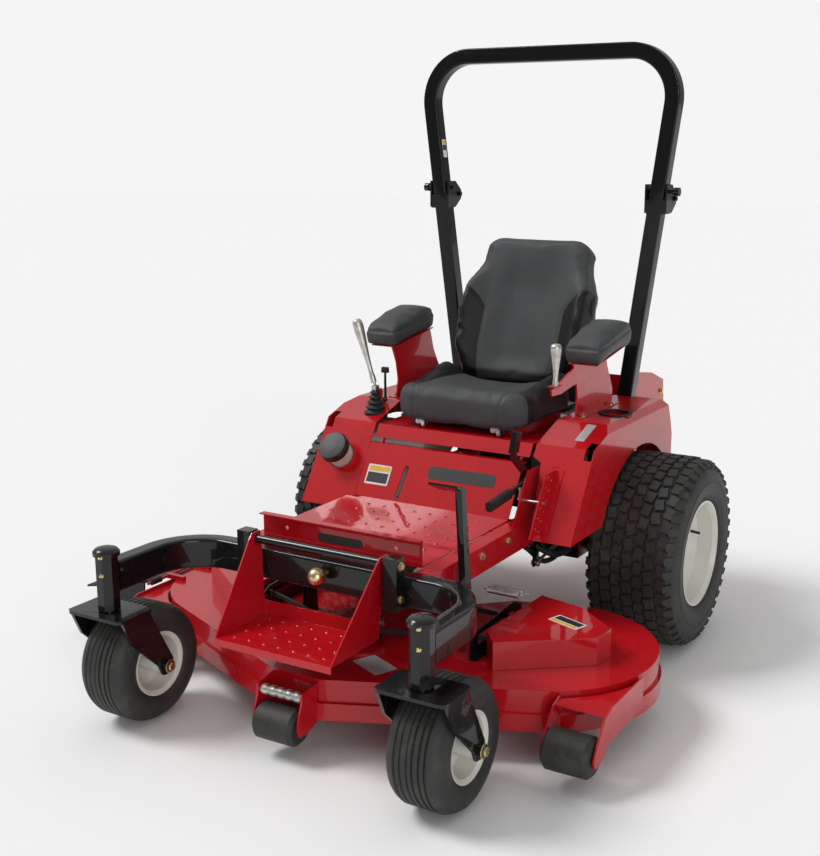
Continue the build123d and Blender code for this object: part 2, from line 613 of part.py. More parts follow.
with BuildPart() as hoop_posts:
    for side in SIDES.values():
        start = RAIL_TOP - 20
        foot = Plane(origin=(side * hoop_x(start), HOOP_Y, start), x_dir=(0, 1, 0),
                     z_dir=(side * sin(hoop_lean), 0, cos(hoop_lean)))
        with BuildSketch(foot):
            RectangleRounded(HOOP_TUBE, HOOP_TUBE, 6)
            RectangleRounded(HOOP_TUBE - 2 * HOOP_WALL, HOOP_TUBE - 2 * HOOP_WALL, 3, mode=Mode.SUBTRACT)
        extrude(amount=(HOOP_JOINT_Z - start + 30) / cos(hoop_lean))
    block(-600, 600, HOOP_Y - 80, HOOP_Y + 80, RAIL_TOP - 80, RAIL_TOP + FOOT_T, mode=Mode.SUBTRACT)
    block(-600, 600, HOOP_Y - 80, HOOP_Y + 80, HOOP_JOINT_Z, HOOP_JOINT_Z + 90, mode=Mode.SUBTRACT)
    for side in SIDES.values():
        block(side * (RAIL_X - RAIL_W / 2), side * (RAIL_X + RAIL_W / 2), HOOP_Y - 55, HOOP_Y + 55, RAIL_TOP,
              RAIL_TOP + FOOT_T)
        block(side * (joint_x - EAR_GAP), side * (joint_x + EAR_GAP), HOOP_Y - HOOP_TUBE / 2,
              HOOP_Y + HOOP_TUBE / 2, HOOP_JOINT_Z - COLLAR_H - 3, HOOP_JOINT_Z - 3)
        ear = [(HOOP_Y - 26, HOOP_JOINT_Z - COLLAR_H), (HOOP_Y + 26, HOOP_JOINT_Z - COLLAR_H),
               (HOOP_PIVOT_Y + 14, HOOP_JOINT_Z - 16), (HOOP_PIVOT_Y + 18, HOOP_JOINT_Z),
               (HOOP_PIVOT_Y + 12, HOOP_JOINT_Z + 16), (HOOP_Y + 24, HOOP_JOINT_Z + COLLAR_H),
               (HOOP_Y - 26, HOOP_JOINT_Z + COLLAR_H)]
        for x in (joint_x - EAR_GAP - EAR_T, joint_x + EAR_GAP):
            side_plate(ear, side * x, side * (x + EAR_T))
        reach = EAR_GAP + EAR_T + 8
        rod_x(side * (joint_x - reach), side * (joint_x + reach), HOOP_PIVOT_Y, HOOP_JOINT_Z, HOOP_PIVOT_R)
        rod_x(side * (joint_x - reach), side * (joint_x + reach), HOOP_Y, LOCK_Z, LOCK_R + RUN_GAP,
              mode=Mode.SUBTRACT)
save(hoop_posts, "hoop_posts")

with BuildPart() as hoop_top:
    path_top = HOOP_TOP - HOOP_TUBE / 2
    path_foot = HOOP_JOINT_Z - 12
    with BuildLine() as hoop_path:
        FilletPolyline((hoop_x(path_foot), HOOP_Y, path_foot), (hoop_x(path_top), HOOP_Y, path_top),
                       (-hoop_x(path_top), HOOP_Y, path_top), (-hoop_x(path_foot), HOOP_Y, path_foot),
                       radius=HOOP_BEND_R)
    with BuildSketch(Plane(origin=(hoop_x(path_foot), HOOP_Y, path_foot), x_dir=(0, 1, 0),
                           z_dir=(sin(hoop_lean), 0, cos(hoop_lean)))):
        RectangleRounded(HOOP_TUBE, HOOP_TUBE, 6)
        RectangleRounded(HOOP_TUBE - 2 * HOOP_WALL, HOOP_TUBE - 2 * HOOP_WALL, 3, mode=Mode.SUBTRACT)
    sweep(path=hoop_path.line)
    block(-600, 600, HOOP_Y - 80, HOOP_Y + 80, HOOP_JOINT_Z - 60, HOOP_JOINT_Z + CLEAR, mode=Mode.SUBTRACT)
    for side in SIDES.values():
        slot_r = LOCK_R + 1.5
        rod_x(side * (joint_x - 45), side * (joint_x + 45), HOOP_Y, LOCK_Z, slot_r, mode=Mode.SUBTRACT)
        block(side * (joint_x - 45), side * (joint_x + 45), HOOP_Y - 14, HOOP_Y + slot_r, HOOP_JOINT_Z - 5,
              LOCK_Z, mode=Mode.SUBTRACT)
        rod_x(side * (joint_x - 20), side * (joint_x + 20), HOOP_PIVOT_Y, HOOP_JOINT_Z, 16)
        side_plate([(HOOP_Y + 22, HOOP_JOINT_Z + 3), (HOOP_Y + 22, HOOP_JOINT_Z + 42),
                    (HOOP_PIVOT_Y + 4, HOOP_JOINT_Z + 15), (HOOP_PIVOT_Y - 12, HOOP_JOINT_Z - 4)],
                   side * (joint_x - 20), side * (joint_x + 20))
        rod_x(side * (joint_x - 45), side * (joint_x + 45), HOOP_PIVOT_Y, HOOP_JOINT_Z,
              HOOP_PIVOT_R + RUN_GAP, mode=Mode.SUBTRACT)
save(hoop_top, "hoop_top")

for name, side in SIDES.items():
    with BuildPart() as lock_pin:
        rod_x(side * (joint_x - 46), side * (joint_x + 50), HOOP_Y, LOCK_Z, LOCK_R)
        rod_x(side * (joint_x + 48), side * (joint_x + 56), HOOP_Y, LOCK_Z, 9)
        rod_x(side * (joint_x + 56), side * (joint_x + 72), HOOP_Y, LOCK_Z, 14)
    save(lock_pin, f"lock_pin_{name}")

# --- Caster forks and wheels ---------------------------------------------------------------
FORK_GAP = 9.0
FORK_T = 9.0
FORK_FRONT = 62.0
FORK_TOP = POST_Z0 - 5
FORK_BOTTOM = FORK_TOP - FORK_T
FORK_HALF = CASTER_W / 2 + FORK_GAP

for name, side in SIDES.items():
    mid = side * CASTER_X
    with BuildPart() as caster_fork:
        block(mid - FORK_HALF - FORK_T, mid + FORK_HALF + FORK_T, KINGPIN_Y - FORK_FRONT, KINGPIN_Y + 66, FORK_BOTTOM,
              FORK_TOP)
        fillet(caster_fork.edges().filter_by(Axis.Z), 18)
        leg = [(KINGPIN_Y - 54, FORK_TOP), (KINGPIN_Y + 44, FORK_TOP), (CASTER_AXLE_Y + 26, CASTER_AXLE_Z + 14),
               (CASTER_AXLE_Y + 22, CASTER_AXLE_Z - 14), (CASTER_AXLE_Y + 6, CASTER_AXLE_Z - 26),
               (CASTER_AXLE_Y - 14, CASTER_AXLE_Z - 24), (CASTER_AXLE_Y - 28, CASTER_AXLE_Z + 6),
               (KINGPIN_Y - 20, FORK_BOTTOM - 70)]
        for way in (-1, 1):
            side_plate(leg, mid + way * FORK_HALF, mid + way * (FORK_HALF + FORK_T))
            rod_x(mid + way * (FORK_HALF + FORK_T), mid + way * (FORK_HALF + FORK_T + 14), CASTER_AXLE_Y,
                  CASTER_AXLE_Z, 15)
        rod_x(mid - FORK_HALF, mid + FORK_HALF, CASTER_AXLE_Y, CASTER_AXLE_Z, CASTER_AXLE_R)
        rod_z(mid, KINGPIN_Y, FORK_TOP - 1, POST_Z0 - CLEAR, 24)
        rod_z(mid, KINGPIN_Y, FORK_TOP - 1, POST_Z1 - 2, KINGPIN_R)
    save(caster_fork, f"caster_fork_{name}")

    seat_w = CASTER_W / 2 - 10
    shoulder = CASTER_W / 2
    with BuildPart() as caster_tyre:
        half_tread = [(seat_w, CASTER_BEAD_R), (seat_w, CASTER_BEAD_R + 8), (shoulder - 2, CASTER_BEAD_R + 20),
                      (shoulder, CASTER_R - 38), (shoulder - 5, CASTER_R - 18), (shoulder - 18, CASTER_R - 6),
                      (shoulder - 40, CASTER_R)]
        lathe_x(half_tread + [(-a, r) for a, r in reversed(half_tread)], mid, CASTER_AXLE_Y, CASTER_AXLE_Z)
    save(caster_tyre, f"caster_tyre_{name}")

    with BuildPart() as caster_rim:
        hub_half = FORK_HALF - CLEAR
        bore = CASTER_AXLE_R + RUN_GAP
        half_rim = [(hub_half, bore), (hub_half, 22), (12, 26), (7, 55), (14, CASTER_BEAD_R - 11),
                    (seat_w - 4, CASTER_BEAD_R - 7), (seat_w + 3, CASTER_BEAD_R + 3),
                    (seat_w + 3, CASTER_BEAD_R + 6), (seat_w, CASTER_BEAD_R + 6), (seat_w, CASTER_BEAD_R)]
        lathe_x(half_rim + [(-a, r) for a, r in reversed(half_rim)], mid, CASTER_AXLE_Y, CASTER_AXLE_Z)
    save(caster_rim, f"caster_rim_{name}")

# --- Rear wheels ----------------------------------------------------------------------------
DISC_X = 34.0

for name, side in SIDES.items():
    mid = side * REAR_X
    seat_w = REAR_W / 2 - 18
    shoulder = REAR_W / 2
    with BuildPart() as rear_tyre:
        bead_w = seat_w - 2 * RUN_GAP
        half_tread = [(bead_w, REAR_BEAD_R + RUN_GAP), (bead_w, REAR_BEAD_R + 12), (shoulder - 6, REAR_BEAD_R + 30),
                      (shoulder, REAR_R - 70), (shoulder - 2, REAR_R - 40), (shoulder - 18, REAR_R - 14),
                      (shoulder - 40, REAR_R - 4), (shoulder - 90, REAR_R - 1), (0, REAR_R)]
        lathe_x(half_tread + [(-a, r) for a, r in reversed(half_tread[:-1])], mid, 0, REAR_AXLE_Z)
    save(rear_tyre, f"rear_tyre_{name}")

    with BuildPart() as rear_rim:
        rim = [(seat_w, REAR_BEAD_R), (seat_w, REAR_BEAD_R + 9), (seat_w + 5, REAR_BEAD_R + 9),
               (seat_w + 5, REAR_BEAD_R + 2), (seat_w - 8, REAR_BEAD_R - 7), (DISC_X + 40, REAR_BEAD_R - 14),
               (DISC_X + 8, REAR_BEAD_R - 50), (DISC_X + 4, 66), (DISC_X + 4, 30), (DISC_X, 30),
               (DISC_X, 70), (DISC_X + 3, REAR_BEAD_R - 48), (DISC_X + 30, REAR_BEAD_R - 8),
               (-seat_w + 8, REAR_BEAD_R - 7), (-seat_w - 5, REAR_BEAD_R + 2), (-seat_w - 5, REAR_BEAD_R + 9),
               (-seat_w, REAR_BEAD_R + 9), (-seat_w, REAR_BEAD_R)]
        lathe_x([(side * a, r) for a, r in rim], mid, 0, REAR_AXLE_Z)
    with rear_rim:
        # hub flange, shaft and lug bolts; a separate piece behind the disc
        shaft_in = 150.0
        lathe_x([(side * a, r) for a, r in [(shaft_in - REAR_X, 0), (shaft_in - REAR_X, HUB_SHAFT_R),
                                            (DISC_X - 40, HUB_SHAFT_R), (DISC_X - 34, 42), (DISC_X - 14, 44),
                                            (DISC_X - 14, 70), (DISC_X - 0.3, 70), (DISC_X - 0.3, 29),
                                            (DISC_X + 22, 27), (DISC_X + 24, 0)]], mid, 0, REAR_AXLE_Z)
    save(rear_rim, f"rear_rim_{name}")

# --- Cutting deck -----------------------------------------------------------------------------
DECK_BACK_Y = -560.0
HINGE_R = 5.0
CHUTE_LUGS = (-815.0, -690.0)
LUG_W = 14.0


def tangent_point(x, y, cx, cy, r):
    """Point where the line from (x, y) touches a circle, on its front side."""
    reach = sqrt((cx - x) ** 2 + (cy - y) ** 2)
    run = sqrt(reach ** 2 - r ** 2)
    angle = atan2(cy - y, cx - x) - atan2(r, run)
    return (x + run * cos(angle), y + run * sin(angle))


def deck_outline(grow, z):
    """Sketch of the deck's outline at a height, grown by an offset."""
    touch = tangent_point(NOSE_HALF, NOSE_Y, LOBE_X, LOBE_Y, LOBE_R)
    half = [(NOSE_HALF, NOSE_Y), touch, (LOBE_X, LOBE_Y), (LOBE_X, LOBE_Y + LOBE_R), (250, LOBE_Y + 250),
            (130, DECK_BACK_Y)]
    with BuildSketch(Plane.XY.offset(z)) as outline:
        with Locations((LOBE_X, LOBE_Y), (-LOBE_X, LOBE_Y)):
            Circle(LOBE_R)
        with BuildLine():
            Polyline(*half, *[(-x, y) for x, y in reversed(half)], close=True)
        make_face()
        if grow:
            offset(amount=grow, kind=Kind.INTERSECTION)
    return outline.sketch


SPINDLES = {"left": (SPINDLE_X, SPINDLE_Y), "centre": (0, MID_SPINDLE_Y), "right": (-SPINDLE_X, SPINDLE_Y)}
HOUSING_R = 36.0

with BuildPart() as deck_shell:
    add(extrude(deck_outline(0, DECK_BASE), amount=DECK_TOP - DECK_BASE, mode=Mode.PRIVATE))
    add(extrude(deck_outline(-DECK_WALL, DECK_BASE - 1), amount=DECK_TOP - DECK_WALL - DECK_BASE + 1,
                mode=Mode.PRIVATE), mode=Mode.SUBTRACT)
    add(extrude(deck_outline(BAND, DECK_BASE), amount=BAND_H, mode=Mode.PRIVATE)
        - extrude(deck_outline(-1, DECK_BASE - 1), amount=BAND_H + 2, mode=Mode.PRIVATE))
    for x, y in SPINDLES.values():
        rod_z(x, y, DECK_TOP - 20, DECK_TOP + 5, HOUSING_R + CLEAR, mode=Mode.SUBTRACT)
    # discharge opening
    block(-DECK_OUT - 20, -LOBE_X - 200, CHUTE_Y0 + 10, CHUTE_Y1 - 10, DECK_BASE + 4, DECK_TOP - 14,
          mode=Mode.SUBTRACT)
    # chute hinge rod on two lugs
    rod_y(CHUTE_HINGE_X, CHUTE_Y0, CHUTE_Y1, CHUTE_HINGE_Z, HINGE_R)
    for y in CHUTE_LUGS:
        block(CHUTE_HINGE_X - 6, CHUTE_HINGE_X + 64, y, y + LUG_W, DECK_TOP - 2, CHUTE_HINGE_Z + 6)
save(deck_shell, "deck_shell")

# covers over the outer pulleys
COVER_TOP = 284.0
COVER_T = 2.5
COVER_OUTLINE = [(385, -862), (396, -544), (541, -576), (673, -681), (668, -762), (441, -932)]
COVER_INNER = [(388, -860), (399, -548), (539, -579), (670, -683), (665, -760), (442, -928)]

with BuildPart() as belt_covers:
    for side in SIDES.values():
        flat_plate([(side * x, y) for x, y in COVER_OUTLINE], DECK_TOP, COVER_TOP)
        flat_plate([(side * x, y) for x, y in COVER_INNER], DECK_TOP - 1, COVER_TOP - COVER_T,
                   mode=Mode.SUBTRACT)
        block(side * 370, side * 410, -856, -646, PULLEY_Z - 18, PULLEY_Z + 18, mode=Mode.SUBTRACT)
save(belt_covers, "belt_covers")

GROOVE_R = PULLEY_R - 10
BELT_GAP = 0.4

with BuildPart() as deck_belt:
    for reach, mode in ((PULLEY_R - 1, Mode.ADD), (GROOVE_R + BELT_GAP, Mode.SUBTRACT)):
        with BuildSketch(Plane.XY.offset(PULLEY_Z - 5.6)):
            with BuildLine():
                Polyline(*SPINDLES.values(), close=True)
            make_face()
            offset(amount=reach)
        extrude(amount=11.2, mode=mode)
save(deck_belt, "deck_belt")

# --- Black steel on the deck: spindle housings, hangers, side brackets ---------------------------
HANGER_Y = LIFT_Y + LIFT_ARM
HANGER_GAP = 4.0

with BuildPart() as deck_brackets:
    for x, y in SPINDLES.values():
        rod_z(x, y, BLADE_Z + 32, DECK_TOP + 22, HOUSING_R)
        rod_z(x, y, DECK_TOP, DECK_TOP + 6, HOUSING_R + 30)
        rod_z(x, y, BLADE_Z + 20, DECK_TOP + 40, SPINDLE_R + RUN_GAP, mode=Mode.SUBTRACT)
    for side in SIDES.values():
        for x in (LIFT_ARM_X - HANGER_GAP - 4, LIFT_ARM_X + HANGER_GAP):
            side_plate([(HANGER_Y - 30, DECK_TOP), (HANGER_Y + 30, DECK_TOP), (HANGER_Y + 14, LIFT_Z + 14),
                        (HANGER_Y - 14, LIFT_Z + 14)], side * x, side * (x + 4))
        rod_x(side * (LIFT_ARM_X - HANGER_GAP - 4), side * (LIFT_ARM_X + HANGER_GAP + 4), HANGER_Y, LIFT_Z, 5)
        side_plate([(-905, DECK_TOP), (-905, 250), (-862, 276), (-640, 290), (-600, 270), (-600, DECK_TOP)],
                   side * 354, side * 359)
        block(side * 354, side * 376, -905, -600, DECK_TOP, DECK_TOP + 5)
        block(side * 350, side * 380, -862, -640, PULLEY_Z - 14, PULLEY_Z + 14, mode=Mode.SUBTRACT)
save(deck_brackets, "deck_brackets")

# --- Blades with their spindles and pulleys ---------------------------------------------------
for name, (x, y) in SPINDLES.items():
    turn = 35 if name == "centre" else 0
    with BuildPart() as blade:
        with BuildSketch(Plane.XY.offset(BLADE_Z)):
            with Locations(Location((x, y), turn)):
                Rectangle(2 * BLADE_R - 6, 62)
        extrude(amount=6)
        rod_z(x, y, BLADE_Z - 10, BLADE_Z + 6, 24)
        rod_z(x, y, BLADE_Z, PULLEY_Z - 14, SPINDLE_R)
        rod_z(x, y, BLADE_Z + 6, BLADE_Z + 30, 26)
        lathe_z([(0, PULLEY_Z - 16), (PULLEY_R, PULLEY_Z - 16), (PULLEY_R, PULLEY_Z - 11),
                 (GROOVE_R, PULLEY_Z - 6), (GROOVE_R, PULLEY_Z + 6), (PULLEY_R, PULLEY_Z + 11),
                 (PULLEY_R, PULLEY_Z + 14), (GROOVE_R - 8, PULLEY_Z + 14), (24, PULLEY_Z + 4),
                 (16, PULLEY_Z + 18), (0, PULLEY_Z + 18)], x, y)
    save(blade, f"blade_{name}")

# --- Roller brackets with the step grip, and the rollers ---------------------------------------
ROLLER_GAP = 4.0
GRIP_Y = -1262.0
GRIP_Z = 172.0
GRIP_R = 12.0
half_roller = ROLLER_W / 2

with BuildPart() as roller_brackets:
    for side in SIDES.values():
        flank = [(SIDE_ROLLER_Y - 18, 76), (SIDE_ROLLER_Y - 26, 98), (SIDE_ROLLER_Y - 8, 128), (-1004, 186),
                 (-960, 200), (-700, 200), (-700, 112), (-985, 108), (SIDE_ROLLER_Y + 20, 78)]
        for way in (-1, 1):
            x = side * SIDE_ROLLER_X + way * (half_roller + ROLLER_GAP)
            side_plate(flank, x, x + way * PLATE)
        block(side * (SIDE_ROLLER_X - half_roller - 4), side * (SIDE_ROLLER_X + half_roller + 4), -1004, -700,
              186, 190)
        rod_z(side * LOBE_X, LOBE_Y, 50, DECK_TOP + 20, LOBE_R + BAND, mode=Mode.SUBTRACT)
        pin = half_roller + ROLLER_GAP + PLATE
        rod_x(side * SIDE_ROLLER_X - pin, side * SIDE_ROLLER_X + pin, SIDE_ROLLER_Y, SIDE_ROLLER_Z, ROLLER_PIN_R)
    fork = [(NOSE_Y - BAND, 88), (NOSE_Y - BAND, 150), (NOSE_Y, 150), (NOSE_Y, 198), (GRIP_Y - 14, 188),
            (GRIP_Y - 16, 160), (NOSE_ROLLER_Y - 20, 124), (NOSE_ROLLER_Y - 26, 98), (NOSE_ROLLER_Y - 18, 76),
            (NOSE_ROLLER_Y + 12, 74)]
    for way in (-1, 1):
        x = way * (half_roller + ROLLER_GAP)
        side_plate(fork, x, x + way * PLATE)
    pin = half_roller + ROLLER_GAP + PLATE
    rod_x(-pin, pin, NOSE_ROLLER_Y, NOSE_ROLLER_Z, ROLLER_PIN_R)
    rod_x(-half_roller - ROLLER_GAP, half_roller + ROLLER_GAP, GRIP_Y, GRIP_Z, GRIP_R)
save(roller_brackets, "roller_brackets")

ROLLERS = {"front": (0, NOSE_ROLLER_Y, NOSE_ROLLER_Z, NOSE_ROLLER_R),
           "left": (SIDE_ROLLER_X, SIDE_ROLLER_Y, SIDE_ROLLER_Z, SIDE_ROLLER_R),
           "right": (-SIDE_ROLLER_X, SIDE_ROLLER_Y, SIDE_ROLLER_Z, SIDE_ROLLER_R)}
for name, (x, y, z, r) in ROLLERS.items():
    with BuildPart() as roller:
        bore = ROLLER_PIN_R + RUN_GAP
        half_end = [(half_roller, bore), (half_roller, r - 10), (half_roller - 10, r)]
        lathe_x(half_end + [(-a, b) for a, b in reversed(half_end)], x, y, z)
    save(roller, f"roller_{name}")

# --- Discharge chute ------------------------------------------------------------------------------
FLAP_T = 6.0
FLAP_CORNER = 60.0
FLAP_ROOT = 9.0
slope = atan2(CHUTE_DROP, CHUTE_REACH)
flap_len = (CHUTE_REACH - FLAP_T * sin(slope)) / cos(slope)
flap_mid_y = (CHUTE_Y0 + CHUTE_Y1) / 2
flap_half = (CHUTE_Y1 - CHUTE_Y0) / 2

with BuildPart() as chute:
    with BuildSketch(Plane(origin=(CHUTE_HINGE_X, flap_mid_y, CHUTE_HINGE_Z - 2),
                           x_dir=(-cos(slope), 0, -sin(slope)), z_dir=(-sin(slope), 0, cos(slope)))):
        with BuildLine():
            Polyline((FLAP_ROOT, -flap_half), (flap_len, -flap_half), (flap_len, flap_half),
                     (FLAP_ROOT, flap_half), close=True)
        make_face()
        fillet(vertices().group_by(Axis.X)[0], FLAP_CORNER)
    extrude(amount=FLAP_T)
    skirt_x = CHUTE_HINGE_X - CHUTE_REACH + FLAP_CORNER + 12
    skirt_z = CHUTE_HINGE_Z - CHUTE_DROP * (CHUTE_HINGE_X - skirt_x) / CHUTE_REACH
    for y in (CHUTE_Y0, CHUTE_Y1 - FLAP_T):
        with BuildSketch(Plane.XZ.offset(-y - FLAP_T)):
            with BuildLine():
                Polyline((CHUTE_HINGE_X - 16, CHUTE_HINGE_Z - 2), (skirt_x, skirt_z), (skirt_x + 20, 120),
                         (CHUTE_HINGE_X - 26, 120), close=True)
            make_face()
        extrude(amount=FLAP_T)
    for y in (CHUTE_Y0 + 16, CHUTE_Y1 - 56):
        rod_y(CHUTE_HINGE_X, y, y + 40, CHUTE_HINGE_Z, 10)
        block(CHUTE_HINGE_X - 46, CHUTE_HINGE_X - 4, y, y + 40, CHUTE_HINGE_Z - 4, CHUTE_HINGE_Z + 4)
    rod_y(CHUTE_HINGE_X, CHUTE_Y0 - 5, CHUTE_Y1 + 5, CHUTE_HINGE_Z, HINGE_R + RUN_GAP, mode=Mode.SUBTRACT)
save(chute, "chute")

# --- Lift shaft with its arms and foot pedal --------------------------------------------------------
PEDAL_Y = -932.0
PAD_X0 = 262.0

with BuildPart() as lift_pedal:
    rod_x(-RAIL_X - 22, PEDAL_X + 10, LIFT_Y, LIFT_Z, LIFT_R)
    for side in SIDES.values():
        side_plate([(LIFT_Y, LIFT_Z - 18), (HANGER_Y + 20, LIFT_Z - 15), (HANGER_Y + 28, LIFT_Z),
                    (HANGER_Y + 20, LIFT_Z + 15), (LIFT_Y, LIFT_Z + 18)], side * (LIFT_ARM_X - 3),
                   side * (LIFT_ARM_X + 3))
        with BuildSketch(Plane.YZ.offset(side * LIFT_ARM_X)):
            with Locations((HANGER_Y + 3, LIFT_Z)):
                SlotOverall(32, 17)
        extrude(amount=10, both=True, mode=Mode.SUBTRACT)
    side_plate([(LIFT_Y - 16, LIFT_Z - 14), (LIFT_Y + 16, LIFT_Z - 14), (PEDAL_Y + 12, PEDAL_TOP_Z - 6),
                (PEDAL_Y - 10, PEDAL_TOP_Z - 2)], PEDAL_X - 10, PEDAL_X + 10)
    side_plate([(PEDAL_Y - 30, PEDAL_TOP_Z + 6), (PEDAL_Y - 33, PEDAL_TOP_Z), (PEDAL_Y + 20, PEDAL_TOP_Z - 26),
                (PEDAL_Y + 24, PEDAL_TOP_Z - 20)], PAD_X0, PEDAL_X + 10)
save(lift_pedal, "lift_pedal")

# --- Deck springs -------------------------------------------------------------------------------------
SPRING_R = 10.0
with BuildPart() as springs:
    for y, z in ((-705, 336), (-676, 332)):
        rod_x(302, 406, y, z, SPRING_R)
        rod_x(290, 418, y, z, 2)
save(springs, "springs")

# --- Height-of-cut plates, levers and pin ---------------------------------------------------------------
STOP_X = 371.0
STOP_TOP = 632.0
STOP_BASE = 461.0
STOP_REACH = 72.0
GUIDE_X = 308.0
PIN_Z = 548.0
PIN_R = 5.0
PIN_Y = panel_y(PIN_Z) - 36
LEVER_Y = -410.0
LEVER_Z = 581.0
LEVER_PIN_R = 8.0

with BuildPart() as height_plate:
    edge = [(panel_y(STOP_TOP) - 0.3, STOP_TOP), (panel_y(STOP_BASE) - 0.3, STOP_BASE)]
    side_plate(edge + [(panel_y(STOP_BASE) - STOP_REACH, STOP_BASE), (panel_y(STOP_TOP) - STOP_REACH, STOP_TOP)],
               STOP_X, STOP_X + 4)
    side_plate(edge + [(panel_y(STOP_BASE) - 3.3, STOP_BASE), (panel_y(STOP_TOP) - 3.3, STOP_TOP)],
               STOP_X + 4, STOP_X + 28)
    for step in range(6):
        z = PIN_Z - 74 + 27 * step
        for column, rise in ((-24, 0), (-52, 13)):
            rod_x(STOP_X - 5, STOP_X + 9, panel_y(z + rise) + column, z + rise, 6, mode=Mode.SUBTRACT)
    side_plate([(panel_y(RAIL_TOP) - 66, RAIL_TOP), (-420, RAIL_TOP), (-385, 604), (-398, STOP_TOP),
                (panel_y(STOP_TOP) - 66, STOP_TOP)], GUIDE_X, GUIDE_X + 3)
    rod_x(STOP_X - 5, STOP_X + 9, PIN_Y, PIN_Z, PIN_R + RUN_GAP, mode=Mode.SUBTRACT)
    rod_x(GUIDE_X - 5, GUIDE_X + 9, PIN_Y, PIN_Z, PIN_R + RUN_GAP, mode=Mode.SUBTRACT)
    rod_x(262, GUIDE_X + 1.5, LEVER_Y, LEVER_Z, LEVER_PIN_R)
save(height_plate, "height_plate")

with BuildPart() as height_pin:
    rod_x(292, STOP_X + 9, PIN_Y, PIN_Z, PIN_R)
    rod_z(297, PIN_Y, PIN_Z, PIN_Z + 36, PIN_R)
save(height_pin, "height_pin")

with BuildPart() as lift_lever:
    side_plate([(LEVER_Y - 12, LEVER_Z - 12), (LEVER_Y + 14, LEVER_Z - 8), (LEVER_Y + 10, LEVER_Z + 12),
                (-450, 622), (-536, 694), (-516, 752), (-542, 756), (-568, 692), (-560, 680), (-462, 600)],
               297, 303)
    side_plate([(-534, 700), (-514, 756), (-544, 760), (-566, 702)], 291, 309)
    rod_x(294, 306, LEVER_Y, LEVER_Z, 14)
    rod_x(290, 310, LEVER_Y, LEVER_Z, LEVER_PIN_R + RUN_GAP, mode=Mode.SUBTRACT)
save(lift_lever, "lift_lever")

with BuildPart() as brake_lever:
    side_plate([(LEVER_Y, LEVER_Z - 12), (LEVER_Y + 8, LEVER_Z + 10), (-452, 580), (-640, 565), (-640, 550),
                (-452, 562)], 266, 276)
    with BuildSketch(Plane(origin=(271, -520, 567), x_dir=(1, 0, 0), z_dir=(0, -1, -0.08))):
        RectangleRounded(24, 30, 9)
    extrude(amount=122)
    rod_x(266, 276, LEVER_Y, LEVER_Z, 14)
    rod_x(260, 280, LEVER_Y, LEVER_Z, LEVER_PIN_R + RUN_GAP, mode=Mode.SUBTRACT)
save(brake_lever, "brake_lever")

# --- Armrests ---------------------------------------------------------------------------------------------
ARM_X = 326.0
PAD_IN = 309.0
PAD_OUT = 423.0
ARM_OUTLINE = [(-190, CONSOLE_TOP), (-178, 800), (-190, 860), (-215, 913), (27, 950), (51, 874), (101, 790),
               (101, CONSOLE_TOP)]

with BuildPart() as armrest_plates:
    for side in SIDES.values():
        side_plate(ARM_OUTLINE, side * ARM_X, side * (ARM_X + PLATE))
        side_plate([(-215, 913), (27, 950), (27, 953), (-215, 916)], side * (PAD_IN + 4), side * (PAD_OUT - 12))
        side_plate([(-200, CONSOLE_TOP), (110, CONSOLE_TOP), (110, CONSOLE_TOP + 3), (-200, CONSOLE_TOP + 3)],
                   side * ARM_X, side * (ARM_X + 30))
    # arm that carries the hand grip in front of the left rest
    side_plate([(-195, 905), (-262, 886), (-322, 866), (-369, 858), (-364, 838), (-300, 835), (-186, 850)],
               ARM_X, ARM_X + PLATE)
    block(ARM_X - 10, ARM_X + 22, -362, -322, 864, 868)
save(armrest_plates, "armrest_plates")

with BuildPart() as armrest_pads:
    for side in SIDES.values():
        side_plate([(-226, 919.5), (-236, 965), (-205, 990), (-120, 1018), (-30, 1031), (14, 1022), (32, 1000),
                    (24, 957.5)], side * PAD_IN, side * PAD_OUT)
    fillet(armrest_pads.edges().filter_by(Axis.X), 6)
save(armrest_pads, "armrest_pads")

# --- Hand grip, drive stick, boot, throttle and blade switch ------------------------------------------------
def baton(plane, foot_r, length):
    """Tapered grip: slim waist, swelling to a round end."""
    heights = [0, 0.12 * length, 0.3 * length, 0.62 * length, 0.9 * length, length]
    radii = [foot_r, foot_r, 7.5, 13, 17.5, 12]
    for low, high, r0, r1 in zip(heights, heights[1:], radii, radii[1:]):
        with Locations(plane.offset(low)):
            if r0 == r1:
                Cylinder(r0, high - low, align=(Align.CENTER, Align.CENTER, Align.MIN))
            else:
                Cone(r0, r1, high - low, align=(Align.CENTER, Align.CENTER, Align.MIN))


with BuildPart() as hand_grip:
    baton(Plane(origin=(ARM_X + 5, -342, 868), z_dir=(0, 0, 1)), 9.5, 126)
save(hand_grip, "hand_grip")

with BuildPart() as joystick_yoke:
    rod_z(STICK_X, STICK_Y, STICK_PIVOT_Z - 20, STICK_KNUCKLE_Z - 12, 8)
    rod_x(STICK_X - 12, STICK_X + 12, STICK_Y, STICK_PIVOT_Z, 7)
    block(STICK_X - 8, STICK_X + 8, STICK_Y - 11, STICK_Y - 6.5, STICK_KNUCKLE_Z - 14, STICK_KNUCKLE_Z + 6)
    block(STICK_X - 8, STICK_X + 8, STICK_Y + 6.5, STICK_Y + 11, STICK_KNUCKLE_Z - 14, STICK_KNUCKLE_Z + 6)
    block(STICK_X - 8, STICK_X + 8, STICK_Y - 11, STICK_Y + 11, STICK_KNUCKLE_Z - 18, STICK_KNUCKLE_Z - 12)
    rod_y(STICK_X, STICK_Y - 11, STICK_Y + 11, STICK_KNUCKLE_Z, 3)
save(joystick_yoke, "joystick_yoke")

